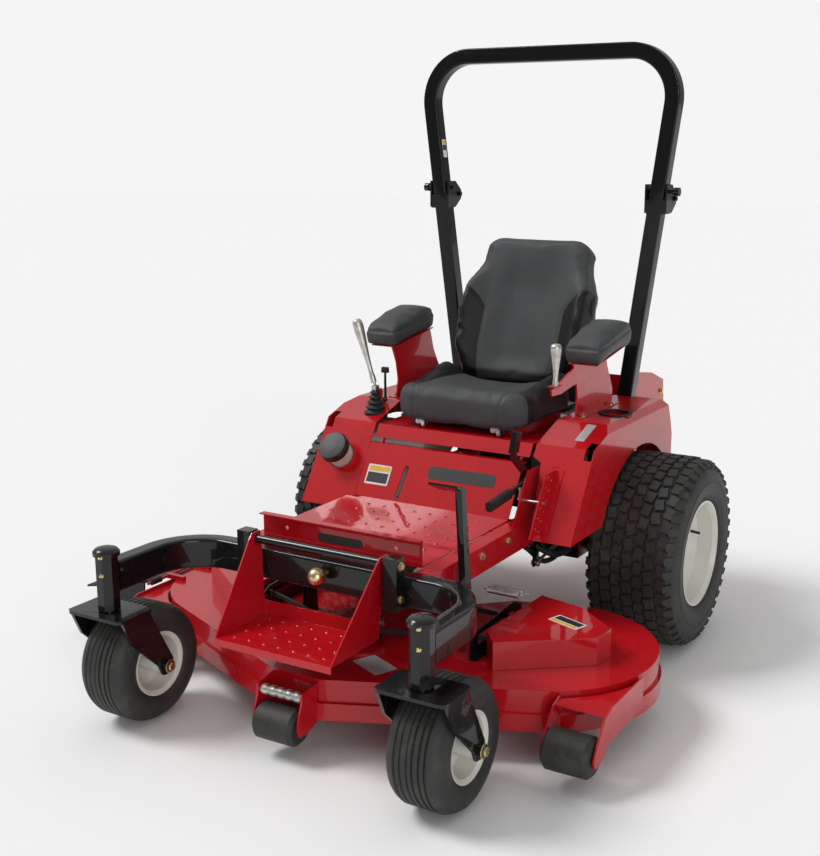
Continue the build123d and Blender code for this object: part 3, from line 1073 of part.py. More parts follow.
STICK_LEAN = 16.4
with BuildPart() as joystick_lever:
    lean = radians(STICK_LEAN)
    rod_y(STICK_X, STICK_Y - 6, STICK_Y + 6, STICK_KNUCKLE_Z, 7.5)
    baton(Plane(origin=(STICK_X, STICK_Y, STICK_KNUCKLE_Z), x_dir=(0, 1, 0),
                z_dir=(-sin(lean), -0.04, cos(lean))).offset(16), 9.5, 217)
    rod_z(STICK_X - 2, STICK_Y, STICK_KNUCKLE_Z + 3, STICK_KNUCKLE_Z + 20, 5)
    rod_y(STICK_X, STICK_Y - 12, STICK_Y + 12, STICK_KNUCKLE_Z, 3 + RUN_GAP, mode=Mode.SUBTRACT)
save(joystick_lever, "joystick_lever")

with BuildPart() as control_boot:
    lathe_z([(32, 690), (38, 690), (38, 722), (34, 744), (29, 758), (24, 768), (19, 768), (25, 756), (30, 730)],
            STICK_X, STICK_Y)
    side_plate([(panel_y(PANEL_TOP_Z), 680), (panel_y(PANEL_TOP_Z), PANEL_TOP_Z + 0.6),
                (CONSOLE_BEND_Y, CONSOLE_TOP + 0.6), (CONSOLE_BEND_Y, 680)], STICK_X - 50, STICK_X + 50,
               mode=Mode.SUBTRACT)
save(control_boot, "control_boot")

with BuildPart() as throttle_lever:
    side_plate([(THROTTLE_Y - 5, THROTTLE_Z), (THROTTLE_Y + 5, THROTTLE_Z), (THROTTLE_Y + 4, 838),
                (THROTTLE_Y - 4, 838)], THROTTLE_X - 2, THROTTLE_X + 2)
    side_plate([(THROTTLE_Y - 8, 834), (THROTTLE_Y + 8, 834), (THROTTLE_Y + 6, 852), (THROTTLE_Y - 6, 852)],
               THROTTLE_X - 11, THROTTLE_X + 11)
    rod_x(THROTTLE_X - 4, THROTTLE_X + 4, THROTTLE_Y, THROTTLE_Z, 7)
    rod_x(THROTTLE_X - 6, THROTTLE_X + 8, THROTTLE_Y, THROTTLE_Z, THROTTLE_PIN_R + RUN_GAP,
          mode=Mode.SUBTRACT)
save(throttle_lever, "throttle_lever")

with BuildPart() as pto_knob:
    lathe_z([(0, 716), (SWITCH_R, 716), (SWITCH_R, 746), (15, 752), (17, 766), (14, 777), (0, 778)],
            SWITCH_X, SWITCH_Y)
save(pto_knob, "pto_knob")

# --- Seat -----------------------------------------------------------------------------------------------------
SEAT_HINGE_Y = -340.0
SEAT_HINGE_Z = 712.0
SEAT_PIN_R = 6.0
RAIL_SURFACE = PLATFORM_Z + SEAT_RAIL_H

with BuildPart() as seat_base:
    for side in SIDES.values():
        block(side * (SEAT_RAIL_X - 12), side * (SEAT_RAIL_X + 12), SEAT_RAIL_Y0 + 20, SEAT_RAIL_Y1 - 60,
              RAIL_SURFACE + 0.5, RAIL_SURFACE + 6)
        block(side * 146, side * 152, SEAT_HINGE_Y, SEAT_RAIL_Y0 + 40, RAIL_SURFACE + 0.5, 718)
        rod_x(side * 146, side * 152, SEAT_HINGE_Y, SEAT_HINGE_Z, 7)
        rod_x(side * 146, side * 172, SEAT_HINGE_Y, SEAT_HINGE_Z, SEAT_PIN_R)
    block(-180, 180, SEAT_RAIL_Y0 + 30, SEAT_RAIL_Y1 - 60, RAIL_SURFACE + 6, 718)
save(seat_base, "seat_base")

back_lean = radians(BACK_LEAN)
back_plane = Plane(origin=(0, BACK_FOOT_Y, BACK_FOOT_Z), x_dir=(1, 0, 0),
                   z_dir=(0, -cos(back_lean), sin(back_lean)))

with BuildPart() as seat_shell:
    block(-205, 205, SEAT_FRONT_Y + 20, 96, SEAT_BASE_Z - 8, SEAT_BASE_Z - 1)
    for side in SIDES.values():
        side_plate([(SEAT_HINGE_Y - 9, SEAT_HINGE_Z - 9), (SEAT_HINGE_Y + 9, SEAT_HINGE_Z - 9),
                    (SEAT_HINGE_Y + 14, SEAT_BASE_Z - 6), (SEAT_HINGE_Y - 9, SEAT_BASE_Z - 6)],
                   side * 158, side * 166)
    rod_x(-175, 175, SEAT_HINGE_Y, SEAT_HINGE_Z, SEAT_PIN_R + RUN_GAP, mode=Mode.SUBTRACT)
    with BuildSketch(back_plane.offset(-BACK_T - 1)):
        with Locations((0, 200)):
            RectangleRounded(330, 500, 50)
    extrude(amount=-8)
save(seat_shell, "seat_shell")

with BuildPart() as seat_cushion:
    block(-SEAT_HALF, SEAT_HALF, SEAT_FRONT_Y, BACK_FOOT_Y - 6, SEAT_BASE_Z, SEAT_TOP_Z)
    fillet(seat_cushion.edges().filter_by(Axis.Z).group_by(Axis.Y)[0], 90)
    fillet(seat_cushion.edges().filter_by(Axis.Z).group_by(Axis.Y)[-1], 30)
    fillet(seat_cushion.faces().sort_by(Axis.Z)[-1].edges(), 26)
save(seat_cushion, "seat_cushion")

with BuildPart() as seat_back:
    half = [(182, -20), (226, 90), (240, 230), (228, 330), (176, 420), (150, BACK_H)]
    with BuildSketch(back_plane):
        with BuildLine():
            Polyline(*half, *[(-x, v) for x, v in reversed(half)], close=True)
        make_face()
        fillet(vertices().group_by(Axis.Y)[-1], 60)
    extrude(amount=-BACK_T)
    fillet(seat_back.faces().sort_by(Axis.Y)[0].edges(), 22)
save(seat_back, "seat_back")

# --- Plated bolts and the front ball on the chassis ------------------------------------------------------------
BOLT_R = 9.0
BALL_R = 25.0
BALL_X = 4.0
BALL_Y = -1108.0
BALL_Z = 444.0


def bolt_head(x, y, z, direction):
    """Hex head on a washer, standing on a face whose outward normal is direction."""
    face = Plane(origin=(x, y, z), z_dir=direction)
    with BuildSketch(face) as washer:
        Circle(BOLT_R + 3)
    extrude(washer.sketch, amount=1.6)
    with BuildSketch(face.offset(1.6)) as head:
        RegularPolygon(BOLT_R, 6)
    extrude(head.sketch, amount=6)


with BuildPart() as chassis_bolts:
    front = CROSS_Y - TUBE_D / 2
    rod_y(BALL_X, front - 12, front, BALL_Z, 11)
    with Locations((BALL_X, BALL_Y, BALL_Z)):
        Sphere(BALL_R)
    for side in SIDES.values():
        for y in (HOOP_Y - 42, HOOP_Y + 42):
            bolt_head(side * RAIL_X, y, RAIL_TOP + FOOT_T, (0, 0, 1))
        bolt_head(side * (STEP_POST_X + STEP_POST_W), STEP_ROD_Y + 6, STEP_ROD_Z, (side, 0, 0))
        bolt_head(side * (STEP_POST_X + STEP_POST_W), STEP_ROD_Y + 6, TUBE_Z0 + 30, (side, 0, 0))
        for y in (-160.0, 60.0):
            bolt_head(side * (ARM_X + 18), y, CONSOLE_TOP + 3, (0, 0, 1))
        bolt_head(side * GUARD_X, 560, 705, (side, 0, 0))
        for y in (-1000.0, -760.0, -600.0):
            bolt_head(side * (RAIL_X + RAIL_W / 2), y, 452, (side, 0, 0))
save(chassis_bolts, "chassis_bolts")
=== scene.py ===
"""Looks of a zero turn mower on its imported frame: paint, tyres, seat, sticks, springs and small fittings.

Metres, +Z up. The machine faces -Y, and +X is the seated operator's left.
"""

import bmesh
import bpy
import json
from math import cos, pi, radians, sin
from mathutils import Matrix, Vector
from mathutils.bvhtree import BVHTree

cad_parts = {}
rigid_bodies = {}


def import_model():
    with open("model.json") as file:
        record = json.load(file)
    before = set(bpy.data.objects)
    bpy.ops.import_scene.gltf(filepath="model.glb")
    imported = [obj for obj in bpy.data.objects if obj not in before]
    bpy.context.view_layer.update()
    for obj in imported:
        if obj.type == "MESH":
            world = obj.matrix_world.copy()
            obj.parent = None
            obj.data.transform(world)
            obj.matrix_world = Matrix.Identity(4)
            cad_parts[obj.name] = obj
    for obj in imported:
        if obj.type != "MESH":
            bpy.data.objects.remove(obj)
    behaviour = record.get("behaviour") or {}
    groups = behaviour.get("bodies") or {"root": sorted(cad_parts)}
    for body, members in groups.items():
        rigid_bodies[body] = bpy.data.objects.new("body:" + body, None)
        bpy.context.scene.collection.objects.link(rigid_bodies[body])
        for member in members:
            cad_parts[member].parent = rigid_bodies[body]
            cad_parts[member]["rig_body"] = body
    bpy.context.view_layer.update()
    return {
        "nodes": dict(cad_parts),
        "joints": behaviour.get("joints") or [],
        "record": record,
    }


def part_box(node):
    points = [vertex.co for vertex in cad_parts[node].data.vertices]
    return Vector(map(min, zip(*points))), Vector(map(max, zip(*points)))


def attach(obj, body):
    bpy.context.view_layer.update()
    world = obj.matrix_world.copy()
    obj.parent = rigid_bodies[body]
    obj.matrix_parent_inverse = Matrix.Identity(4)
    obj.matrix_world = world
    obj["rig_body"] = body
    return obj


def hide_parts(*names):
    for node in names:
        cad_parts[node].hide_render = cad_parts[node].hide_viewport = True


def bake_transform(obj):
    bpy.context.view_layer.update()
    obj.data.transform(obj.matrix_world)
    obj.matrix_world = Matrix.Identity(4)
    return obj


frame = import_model()

bl_info = {
    "name": "Zero turn mower looks",
    "version": (1, 0, 0),
    "blender": (4, 5, 0),
    "location": "View3D > Sidebar > Mower",
    "description": "Finishes the packed frame of a zero turn mower",
    "category": "Object",
}

SIDES = {"left": 1, "right": -1}
NODES = frame["nodes"]


# --- Places read from the frame ---------------------------------------------------------
def box_of(node):
    low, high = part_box(node)
    return Vector(low), Vector(high)


def middle(node):
    low, high = box_of(node)
    return (low + high) / 2


def joint(name):
    """Pivot of a joint of the frame."""
    for entry in frame["joints"]:
        if entry["name"] == name:
            return Vector(entry["pos_m"])
    raise RuntimeError(f"no joint named {name}")


STICK_PIVOT = joint("stick_pitch")
KNUCKLE = joint("stick_roll")


# --- Shader maths ---------------------------------------------------------------------
class Value:
    """A node's output; arithmetic on it adds Math nodes to its tree."""

    def __init__(self, tree, socket):
        self.tree = tree
        self.socket = socket

    def _math(self, operation, first, second=None):
        made = self.tree.nodes.new("ShaderNodeMath")
        made.operation = operation
        for place, value in enumerate((first, second)):
            if isinstance(value, Value):
                self.tree.links.new(value.socket, made.inputs[place])
            elif value is not None:
                made.inputs[place].default_value = value
        return Value(self.tree, made.outputs[0])

    def __add__(self, other):
        return self._math("ADD", self, other)

    __radd__ = __add__

    def __mul__(self, other):
        return self._math("MULTIPLY", self, other)

    __rmul__ = __mul__

    def clamped(self):
        made = self._math("ADD", self, 0.0)
        made.socket.node.use_clamp = True
        return made


class Finish:
    """One material: a Principled shader and the nodes that feed it."""

    def __init__(self, name, colour, roughness, metallic=0.0, coat=0.0, coat_roughness=0.05, sheen=0.0):
        self.material = bpy.data.materials.new(name)
        self.material.use_nodes = True
        self.tree = self.material.node_tree
        self.shader = self.tree.nodes["Principled BSDF"]
        self.colour = tuple(colour) + (1.0,)
        self.set("Base Color", self.colour)
        self.set("Roughness", roughness)
        self.set("Metallic", metallic)
        self.set("Coat Weight", coat)
        self.set("Coat Roughness", coat_roughness)
        self.set("Sheen Weight", sheen)
        self.place = self.node("ShaderNodeTexCoord", output="Object")

    def set(self, socket, value):
        if isinstance(value, Value):
            self.tree.links.new(value.socket, self.shader.inputs[socket])
        else:
            self.shader.inputs[socket].default_value = value

    def node(self, kind, settings=None, inputs=None, output=0):
        """Any node, with its settings first and then its sockets."""
        made = self.tree.nodes.new(kind)
        for key, value in (settings or {}).items():
            if key == "stops":
                ramp = made.color_ramp
                for at, colour in value[len(ramp.elements):]:
                    ramp.elements.new(at)
                for element, (at, colour) in zip(ramp.elements, value):
                    element.position = at
                    element.color = tuple(colour) + (1.0,)
            else:
                setattr(made, key, value)
        for key, value in (inputs or {}).items():
            if isinstance(value, Value):
                self.tree.links.new(value.socket, made.inputs[key])
            else:
                made.inputs[key].default_value = value
        return Value(self.tree, made.outputs[output])

    def noise(self, scale, detail=3.0, roughness=0.55):
        return self.node("ShaderNodeTexNoise", None, {"Vector": self.place, "Scale": scale, "Detail": detail,
                                                      "Roughness": roughness})

    def height(self):
        split = self.node("ShaderNodeSeparateXYZ", None, {"Vector": self.place}, output="Z")
        return split

    def band(self, value, low, high):
        """0 below low, 1 above high."""
        return self.node("ShaderNodeMapRange", {"interpolation_type": "SMOOTHSTEP"},
                         {"Value": value, "From Min": low, "From Max": high})

    def mix(self, mask, first, second):
        made = self.tree.nodes.new("ShaderNodeMix")
        made.data_type = "RGBA"
        for key, value in ((0, mask), (6, first), (7, second)):
            if isinstance(value, Value):
                self.tree.links.new(value.socket, made.inputs[key])
            elif key == 0:
                made.inputs[key].default_value = value
            else:
                made.inputs[key].default_value = tuple(value)[:3] + (1.0,)
        return Value(self.tree, made.outputs[2])

    def bump(self, value, distance, strength=1.0):
        made = self.node("ShaderNodeBump", None, {"Height": value, "Distance": distance,
                                                  "Strength": strength})
        self.set("Normal", made)


def darker(colour, factor):
    return tuple(part * factor for part in colour[:3])


FINISHES = {}


def paint(name, colour, roughness, coat, dust):
    """Powder coat with a faint orange peel and a little dust low down."""
    made = Finish(name, colour, roughness, coat=coat, coat_roughness=0.04)
    made.set("Specular IOR Level", 0.15)
    broad = made.noise(6.0, 4.0)
    low = made.band(made.height(), 0.45, 0.05) * dust
    mask = (low * made.band(made.noise(35.0, 6.0), 0.5, 0.8)).clamped()
    tone = made.mix(made.band(broad, 0.35, 0.7), darker(colour, 0.93), colour)
    made.set("Base Color", made.mix(mask, tone, (0.12, 0.09, 0.06)))
    made.set("Roughness", made.band(made.noise(18.0, 5.0), 0.2, 0.9) * 0.08 + (roughness - 0.04) + mask * 0.3)
    made.bump(made.noise(420.0, 1.0), 0.0002, 0.15)
    FINISHES[name] = made.material


def metal(name, colour, roughness, stain):
    """Plated or bare metal with cloudy patches."""
    made = Finish(name, colour, roughness, metallic=1.0)
    cloud = made.band(made.noise(60.0, 4.0), 0.35, 0.7)
    made.set("Base Color", made.mix(cloud, colour, stain))
    made.set("Roughness", cloud * 0.15 + roughness)
    made.bump(made.noise(900.0, 2.0), 0.0001, 0.3)
    FINISHES[name] = made.material


def plastic(name, colour, roughness, grain):
    """Moulded plastic with a fine grain."""
    made = Finish(name, colour, roughness)
    made.set("Base Color", made.mix(made.band(made.noise(25.0, 3.0), 0.3, 0.7), darker(colour, 0.85), colour))
    made.set("Roughness", made.noise(40.0, 3.0) * 0.12 + (roughness - 0.06))
    made.bump(made.noise(grain, 2.0), 0.0003, 0.35)
    FINISHES[name] = made.material


def tyre_rubber(name, colour, dusty):
    """Used rubber: pale dust in patches over charcoal."""
    made = Finish(name, colour, 0.75)
    patch = made.band(made.noise(14.0, 6.0, 0.7), 0.45, 0.78)
    specks = made.band(made.noise(160.0, 3.0), 0.55, 0.8)
    mask = (patch * 0.35 + specks * 0.22) * dusty
    made.set("Base Color", made.mix(mask.clamped(), colour, (0.13, 0.125, 0.09)))
    made.set("Roughness", mask * 0.25 + 0.58)
    made.bump(made.noise(300.0, 4.0), 0.0006, 0.5)
    FINISHES[name] = made.material


def vinyl(name, colour, roughness, grain):
    """Seat vinyl with a pebble grain."""
    made = Finish(name, colour, roughness, sheen=0.03)
    made.set("Specular IOR Level", 0.3)
    cells = made.node("ShaderNodeTexVoronoi", {"feature": "DISTANCE_TO_EDGE"},
                      {"Vector": made.place, "Scale": grain})
    made.set("Base Color", made.mix(made.band(made.noise(12.0, 4.0), 0.3, 0.75), darker(colour, 0.82), colour))
    made.set("Roughness", made.noise(30.0, 3.0) * 0.12 + (roughness - 0.06))
    made.bump(made.band(cells, 0.0, 0.25) + made.noise(1500.0, 1.0) * 0.3, 0.0004, 0.45)
    FINISHES[name] = made.material


class MowerPaintSettings(bpy.types.PropertyGroup):
    """Colours of the painted and moulded surfaces."""

    red: bpy.props.FloatVectorProperty(name="Body red", description="Powder coat of frame, deck and covers",
                                       subtype="COLOR", size=3, default=(0.52, 0.005, 0.011))
    black: bpy.props.FloatVectorProperty(name="Frame black", description="Powder coat of hoop and front tube",
                                         subtype="COLOR", size=3, default=(0.006, 0.006, 0.007))
    cream: bpy.props.FloatVectorProperty(name="Rim cream", description="Enamel of the wheel rims",
                                         subtype="COLOR", size=3, default=(0.72, 0.71, 0.64))
    dust: bpy.props.FloatProperty(name="Dust", description="How dusty the tyres are", default=1.0,
                                  min=0.0, max=1.5, subtype="FACTOR")


class MowerTyreSettings(bpy.types.PropertyGroup):
    """Sizes of the tread."""

    blocks: bpy.props.IntProperty(name="Blocks round", description="Tread blocks in one ring", default=42)
    depth: bpy.props.FloatProperty(name="Tread depth", description="Height of a tread block", default=0.009,
                                   unit="LENGTH")
    rib_depth: bpy.props.FloatProperty(name="Rib depth", description="Depth of the caster tyre's grooves",
                                       default=0.005, unit="LENGTH")


class MowerSeatSettings(bpy.types.PropertyGroup):
    """Softness of the pads."""

    voxel: bpy.props.FloatProperty(name="Voxel", description="Mesh size of the pads", default=0.006,
                                   unit="LENGTH")
    swell: bpy.props.FloatProperty(name="Swell", description="How far a pad's skin may move", default=0.012,
                                   unit="LENGTH")
    grain: bpy.props.FloatProperty(name="Grain", description="Pebbles in the vinyl, per metre", default=420.0)


def settings():
    scene = bpy.context.scene
    return scene.mower_paint, scene.mower_tyres, scene.mower_seat


# --- Mesh helpers -------------------------------------------------------------------------
def finish_piece(name, mesh_maker, material, body, smooth=35.0, replaces=()):
    """Turn a bmesh into a piece that rides on a body."""
    mesh = bpy.data.meshes.new(name)
    mesh_maker.to_mesh(mesh)
    mesh_maker.free()
    piece = bpy.data.objects.new(name, mesh)
    bpy.context.scene.collection.objects.link(piece)
    mesh.materials.append(FINISHES[material])
    mesh.shade_smooth()
    mesh.set_sharp_from_angle(angle=radians(smooth))
    if body:
        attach(piece, body)
    if replaces:
        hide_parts(*replaces)
    return piece


def aim(origin, direction, side=(0, 0, 1)):
    """Matrix that puts local Z along direction, with local Y as near side as it can be."""
    z = Vector(direction).normalized()
    x = Vector(side).cross(z)
    if x.length < 1e-4:
        x = Vector((1, 0, 0))
    x.normalize()
    y = z.cross(x)
    turn = Matrix((x, y, z)).transposed().to_4x4()
    return Matrix.Translation(Vector(origin)) @ turn


def turned(points, matrix, steps=32, closed=False):
    """Surface of revolution about the matrix's Z axis; points are (radius, height)."""
    made = bmesh.new()
    chain = [made.verts.new((radius, 0, height)) for radius, height in points]
    edges = [made.edges.new(pair) for pair in zip(chain, chain[1:])]
    if closed:
        edges.append(made.edges.new((chain[-1], chain[0])))
    bmesh.ops.spin(made, geom=chain + edges, cent=(0, 0, 0), axis=(0, 0, 1), angle=2 * pi, steps=steps,
                   use_merge=True)
    bmesh.ops.remove_doubles(made, verts=made.verts, dist=1e-6)
    bmesh.ops.recalc_face_normals(made, faces=made.faces)
    made.transform(matrix)
    return made


def joined(makers):
    """One bmesh out of several."""
    whole = bmesh.new()
    for maker in makers:
        spare = bpy.data.meshes.new("spare")
        maker.to_mesh(spare)
        maker.free()
        whole.from_mesh(spare)
        bpy.data.meshes.remove(spare)
    return whole


def slab(size, matrix, bevel=0.0, segments=2):
    """Box centred on the matrix, with bevelled edges."""
    made = bmesh.new()
    bmesh.ops.create_cube(made, size=1.0)
    made.transform(Matrix.Diagonal((*size, 1.0)))
    if bevel:
        bmesh.ops.bevel(made, geom=made.edges[:], offset=bevel, affect="EDGES", segments=segments, profile=0.5,
                        material=-1)
    made.transform(matrix)
    return made


def rod(start, end, radius, steps=20, bevel=0.0):
    """Round bar between two points."""
    run = Vector(end) - Vector(start)
    length = run.length
    edge = min(bevel or radius * 0.12, radius * 0.5)
    return turned([(0, 0), (radius - edge, 0), (radius, edge), (radius, length - edge), (radius - edge, length),
                   (0, length)], aim(start, run), steps)


def hex_bolt(place, direction, size=0.009, washer=True):
    """Hex head on a washer, standing on a face."""
    matrix = aim(place, direction)
    head = bmesh.new()
    bmesh.ops.create_cone(head, cap_ends=True, segments=6, radius1=size, radius2=size, depth=size * 0.62)
    head.transform(Matrix.Translation((0, 0, size * 0.31 + 0.0016)))
    rim = [e for e in head.edges if all(v.co.z > size * 0.5 for v in e.verts)]
    bmesh.ops.bevel(head, geom=rim, offset=size * 0.12, affect="EDGES", segments=1, profile=0.5, material=-1)
    head.transform(matrix)
    parts = [head]
    if washer:
        parts.append(turned([(0, 0), (size * 1.45, 0), (size * 1.45, 0.0014), (size * 1.38, 0.0018),
                             (0, 0.0018)], matrix, 18))
    return joined(parts)


def softened(node, width, material, segments=2):
    """Merged copy of a CAD node with rounded edges; it replaces the node."""
    made = bmesh.new()
    made.from_mesh(NODES[node].data)
    bmesh.ops.remove_doubles(made, verts=made.verts, dist=2e-5)
    bmesh.ops.dissolve_limit(made, angle_limit=radians(0.6), verts=made.verts, edges=made.edges)
    piece = finish_piece(node + "_shape", made, material, NODES[node]["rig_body"], 30.0, (node,))
    edge = piece.modifiers.new("edges", "BEVEL")
    edge.width = width
    edge.segments = segments
    edge.limit_method = "ANGLE"
    edge.angle_limit = radians(40)
    edge.use_clamp_overlap = True
    edge.harden_normals = True
    return piece


# --- Operators ------------------------------------------------------------------------------
class MOWER_OT_finishes(bpy.types.Operator):
    """Make the materials and give them to the frame"""

    bl_idname = "mower.finishes"
    bl_label = "Finishes"

    def execute(self, context):
        colours, _, seat = settings()
        paint("red_paint", colours.red, 0.3, 0.75, 0.0)
        paint("black_paint", colours.black, 0.28, 0.6, 0.15)
        paint("hoop_black", darker(colours.black, 0.7), 0.4, 0.35, 0.0)
        paint("cream_paint", colours.cream, 0.35, 0.4, 0.1)
        tyre_rubber("tyre_rubber", (0.022, 0.022, 0.021), colours.dust)
        tyre_rubber("roller_rubber", (0.02, 0.02, 0.02), 0.6)
        vinyl("seat_vinyl", (0.058, 0.061, 0.063), 0.5, seat.grain)
        vinyl("bolster_vinyl", (0.007, 0.007, 0.008), 0.36, seat.grain)
        plastic("black_rubber", (0.012, 0.012, 0.012), 0.6, 500.0)
        plastic("black_plastic", (0.014, 0.014, 0.015), 0.48, 900.0)
        plastic("tank_plastic", (0.62, 0.62, 0.57), 0.45, 300.0)
        plastic("red_plastic", (0.55, 0.01, 0.01), 0.3, 300.0)
        plastic("label_white", (0.75, 0.75, 0.72), 0.35, 200.0)
        plastic("label_amber", (0.75, 0.48, 0.03), 0.35, 200.0)
        plastic("label_dark", (0.016, 0.016, 0.018), 0.4, 200.0)
        plastic("label_grey", (0.48, 0.49, 0.50), 0.35, 200.0)
        metal("silver_grip", (0.62, 0.61, 0.57), 0.38, (0.50, 0.49, 0.45))
        metal("zinc_steel", (0.66, 0.66, 0.67), 0.28, (0.42, 0.42, 0.43))
        metal("gold_zinc", (0.80, 0.62, 0.30), 0.25, (0.62, 0.52, 0.34))
        metal("cast_iron", (0.05, 0.05, 0.05), 0.5, (0.09, 0.085, 0.08))
        for entry in frame["record"]["subparts"]:
            target = NODES[entry["node"]]
            target.data.materials.clear()
            target.data.materials.append(FINISHES[entry["material_slot"]])
        return {"FINISHED"}


SOFT_EDGES = {
    "red_paint": {"main_frame": 0.003, "front_step": 0.0014, "front_panel": 0.0012,
                  "rear_guard": 0.0012, "height_plate": 0.0008,
                  "armrest_plates": 0.0015, "deck_shell": 0.0016, "belt_covers": 0.0012,
                  "roller_brackets": 0.0015},
    "black_paint": {"front_frame": 0.0025, "caster_fork_left": 0.002, "caster_fork_right": 0.002,
                    "deck_brackets": 0.001, "lift_pedal": 0.0015, "lift_lever": 0.001, "drive_units": 0.004},
    "hoop_black": {"hoop_posts": 0.0018, "hoop_top": 0.002},
    "cast_iron": {"engine_block": 0.002},
}


class MOWER_OT_frame_edges(bpy.types.Operator):
    """Round the edges of the painted steel"""

    bl_idname = "mower.frame_edges"
    bl_label = "Steel edges"

    def execute(self, context):
        for material, nodes in SOFT_EDGES.items():
            for node, width in nodes.items():
                softened(node, width, material)
        return {"FINISHED"}


def rear_tyre(side_name, tyres):
    """Carcass with tread blocks; both in one mesh."""
    node = f"rear_tyre_{side_name}"
    low, high = box_of(node)
    centre = (low + high) / 2
    radius = (high.z - low.z) / 2
    half = (high.x - low.x) / 2
    rim = box_of(f"rear_rim_{side_name}")
    bead = (rim[1].z - rim[0].z) / 2 - 0.0004
    inner = bead - 0.008
    base = radius - tyres.depth
    side_line = [(half - 0.019, inner), (half - 0.0185, bead + 0.002), (half - 0.012, bead + 0.008),
                 (half - 0.007, bead + 0.014), (half - 0.0085, bead + 0.019), (half - 0.004, bead + 0.03),
                 (half - 0.0015, bead + 0.045), (half - 0.001, bead + 0.06), (half - 0.003, bead + 0.062),
                 (half - 0.003, bead + 0.066), (half - 0.001, bead + 0.068), (half - 0.003, radius - 0.058),
                 (half - 0.008, radius - 0.04), (half - 0.017, radius - 0.024), (half - 0.03, base - 0.007),
                 (half - 0.05, base - 0.003), (half - 0.085, base - 0.001)]
    profile = [(r, x) for x, r in side_line] + [(base, 0.0)] + [(r, -x) for x, r in reversed(side_line)]
    spin_axis = aim(centre, (1, 0, 0))
    carcass = turned(profile, spin_axis, 96, closed=True)
    columns = [(0.035 * (row - 3), 0.0295, 12 if row % 2 else -12) for row in range(7)]
    blocks = bmesh.new()
    step = 2 * pi / tyres.blocks

    def block(x, top, width, length, skew, angle, roll):
        made = bmesh.new()
        bmesh.ops.create_cube(made, size=1.0)
        deep = tyres.depth + 0.006
        made.transform(Matrix.Diagonal((width, length, deep, 1.0)))
        for corner in made.verts:
            if corner.co.z > 0:
                corner.co.x *= 0.90
                corner.co.y *= 0.88
        made.transform(Matrix.Translation((0, 0, -deep / 2)))
        place = (Matrix.Translation(centre) @ Matrix.Rotation(angle, 4, "X") @ Matrix.Translation((x, 0, top))
                 @ Matrix.Rotation(roll, 4, "Y") @ Matrix.Rotation(radians(skew), 4, "Z"))
        made.transform(place)
        spare = bpy.data.meshes.new("spare")
        made.to_mesh(spare)
        made.free()
        blocks.from_mesh(spare)
        bpy.data.meshes.remove(spare)

    for turn in range(tyres.blocks):
        for row, (x, width, skew) in enumerate(columns):
            top = radius - 0.0012 - max(0.0, abs(x) - 0.07) * 0.16
            angle = (turn + 0.5 * (row % 2)) * step
            block(x, top, width, 0.0385, skew, angle, 0.0)
        for way in (-1, 1):
            block(way * (half - 0.0195), radius - 0.0155, 0.034, 0.026, way * 10, (turn + 0.25) * step,
                  way * 0.62)
    piece = finish_piece(f"rear_tyre_{side_name}_tread", joined([carcass, blocks]), "tyre_rubber",
                         f"rear_wheel_{side_name}", 32.0, (node,))
    return piece


def caster_tyre(side_name, tyres):
    """Ribbed tyre."""
    node = f"caster_tyre_{side_name}"
    low, high = box_of(node)
    centre = (low + high) / 2
    radius = (high.z - low.z) / 2
    half = (high.x - low.x) / 2
    rim = box_of(f"caster_rim_{side_name}")
    bead = (rim[1].z - rim[0].z) / 2 - 0.006
    ribs = []
    for edge in (0.044, 0.028, 0.010):
        depth = tyres.rib_depth
        ribs += [(edge + 0.002, radius - 0.001), (edge, radius - 0.0015 - depth * 0.2),
                 (edge - 0.001, radius - depth), (edge - 0.0045, radius - depth),
                 (edge - 0.0055, radius - 0.001)]
    side_line = [(half - 0.0102, bead - 0.001), (half - 0.0102, bead + 0.0075), (half - 0.006, bead + 0.012),
                 (half - 0.0025, bead + 0.02), (half - 0.0005, bead + 0.035), (half - 0.001, radius - 0.038),
                 (half - 0.004, radius - 0.025), (half - 0.01, radius - 0.0135), (half - 0.02, radius - 0.006),
                 (half - 0.03, radius - 0.002)] + ribs
    profile = [(r, x) for x, r in side_line] + [(r, -x) for x, r in reversed(side_line)]
    made = turned(profile, aim(centre, (1, 0, 0)), 80, closed=True)
    return finish_piece(f"caster_tyre_{side_name}_ribbed", made, "tyre_rubber", f"caster_{side_name}", 32.0,
                        (node,))


class MOWER_OT_tyres(bpy.types.Operator):
    """Rear tyres with turf blocks and ribbed caster tyres"""

    bl_idname = "mower.tyres"
    bl_label = "Tyres"

    def execute(self, context):
        _, tyres, _ = settings()
        for name in SIDES:
            rear_tyre(name, tyres)
            caster_tyre(name, tyres)
        return {"FINISHED"}


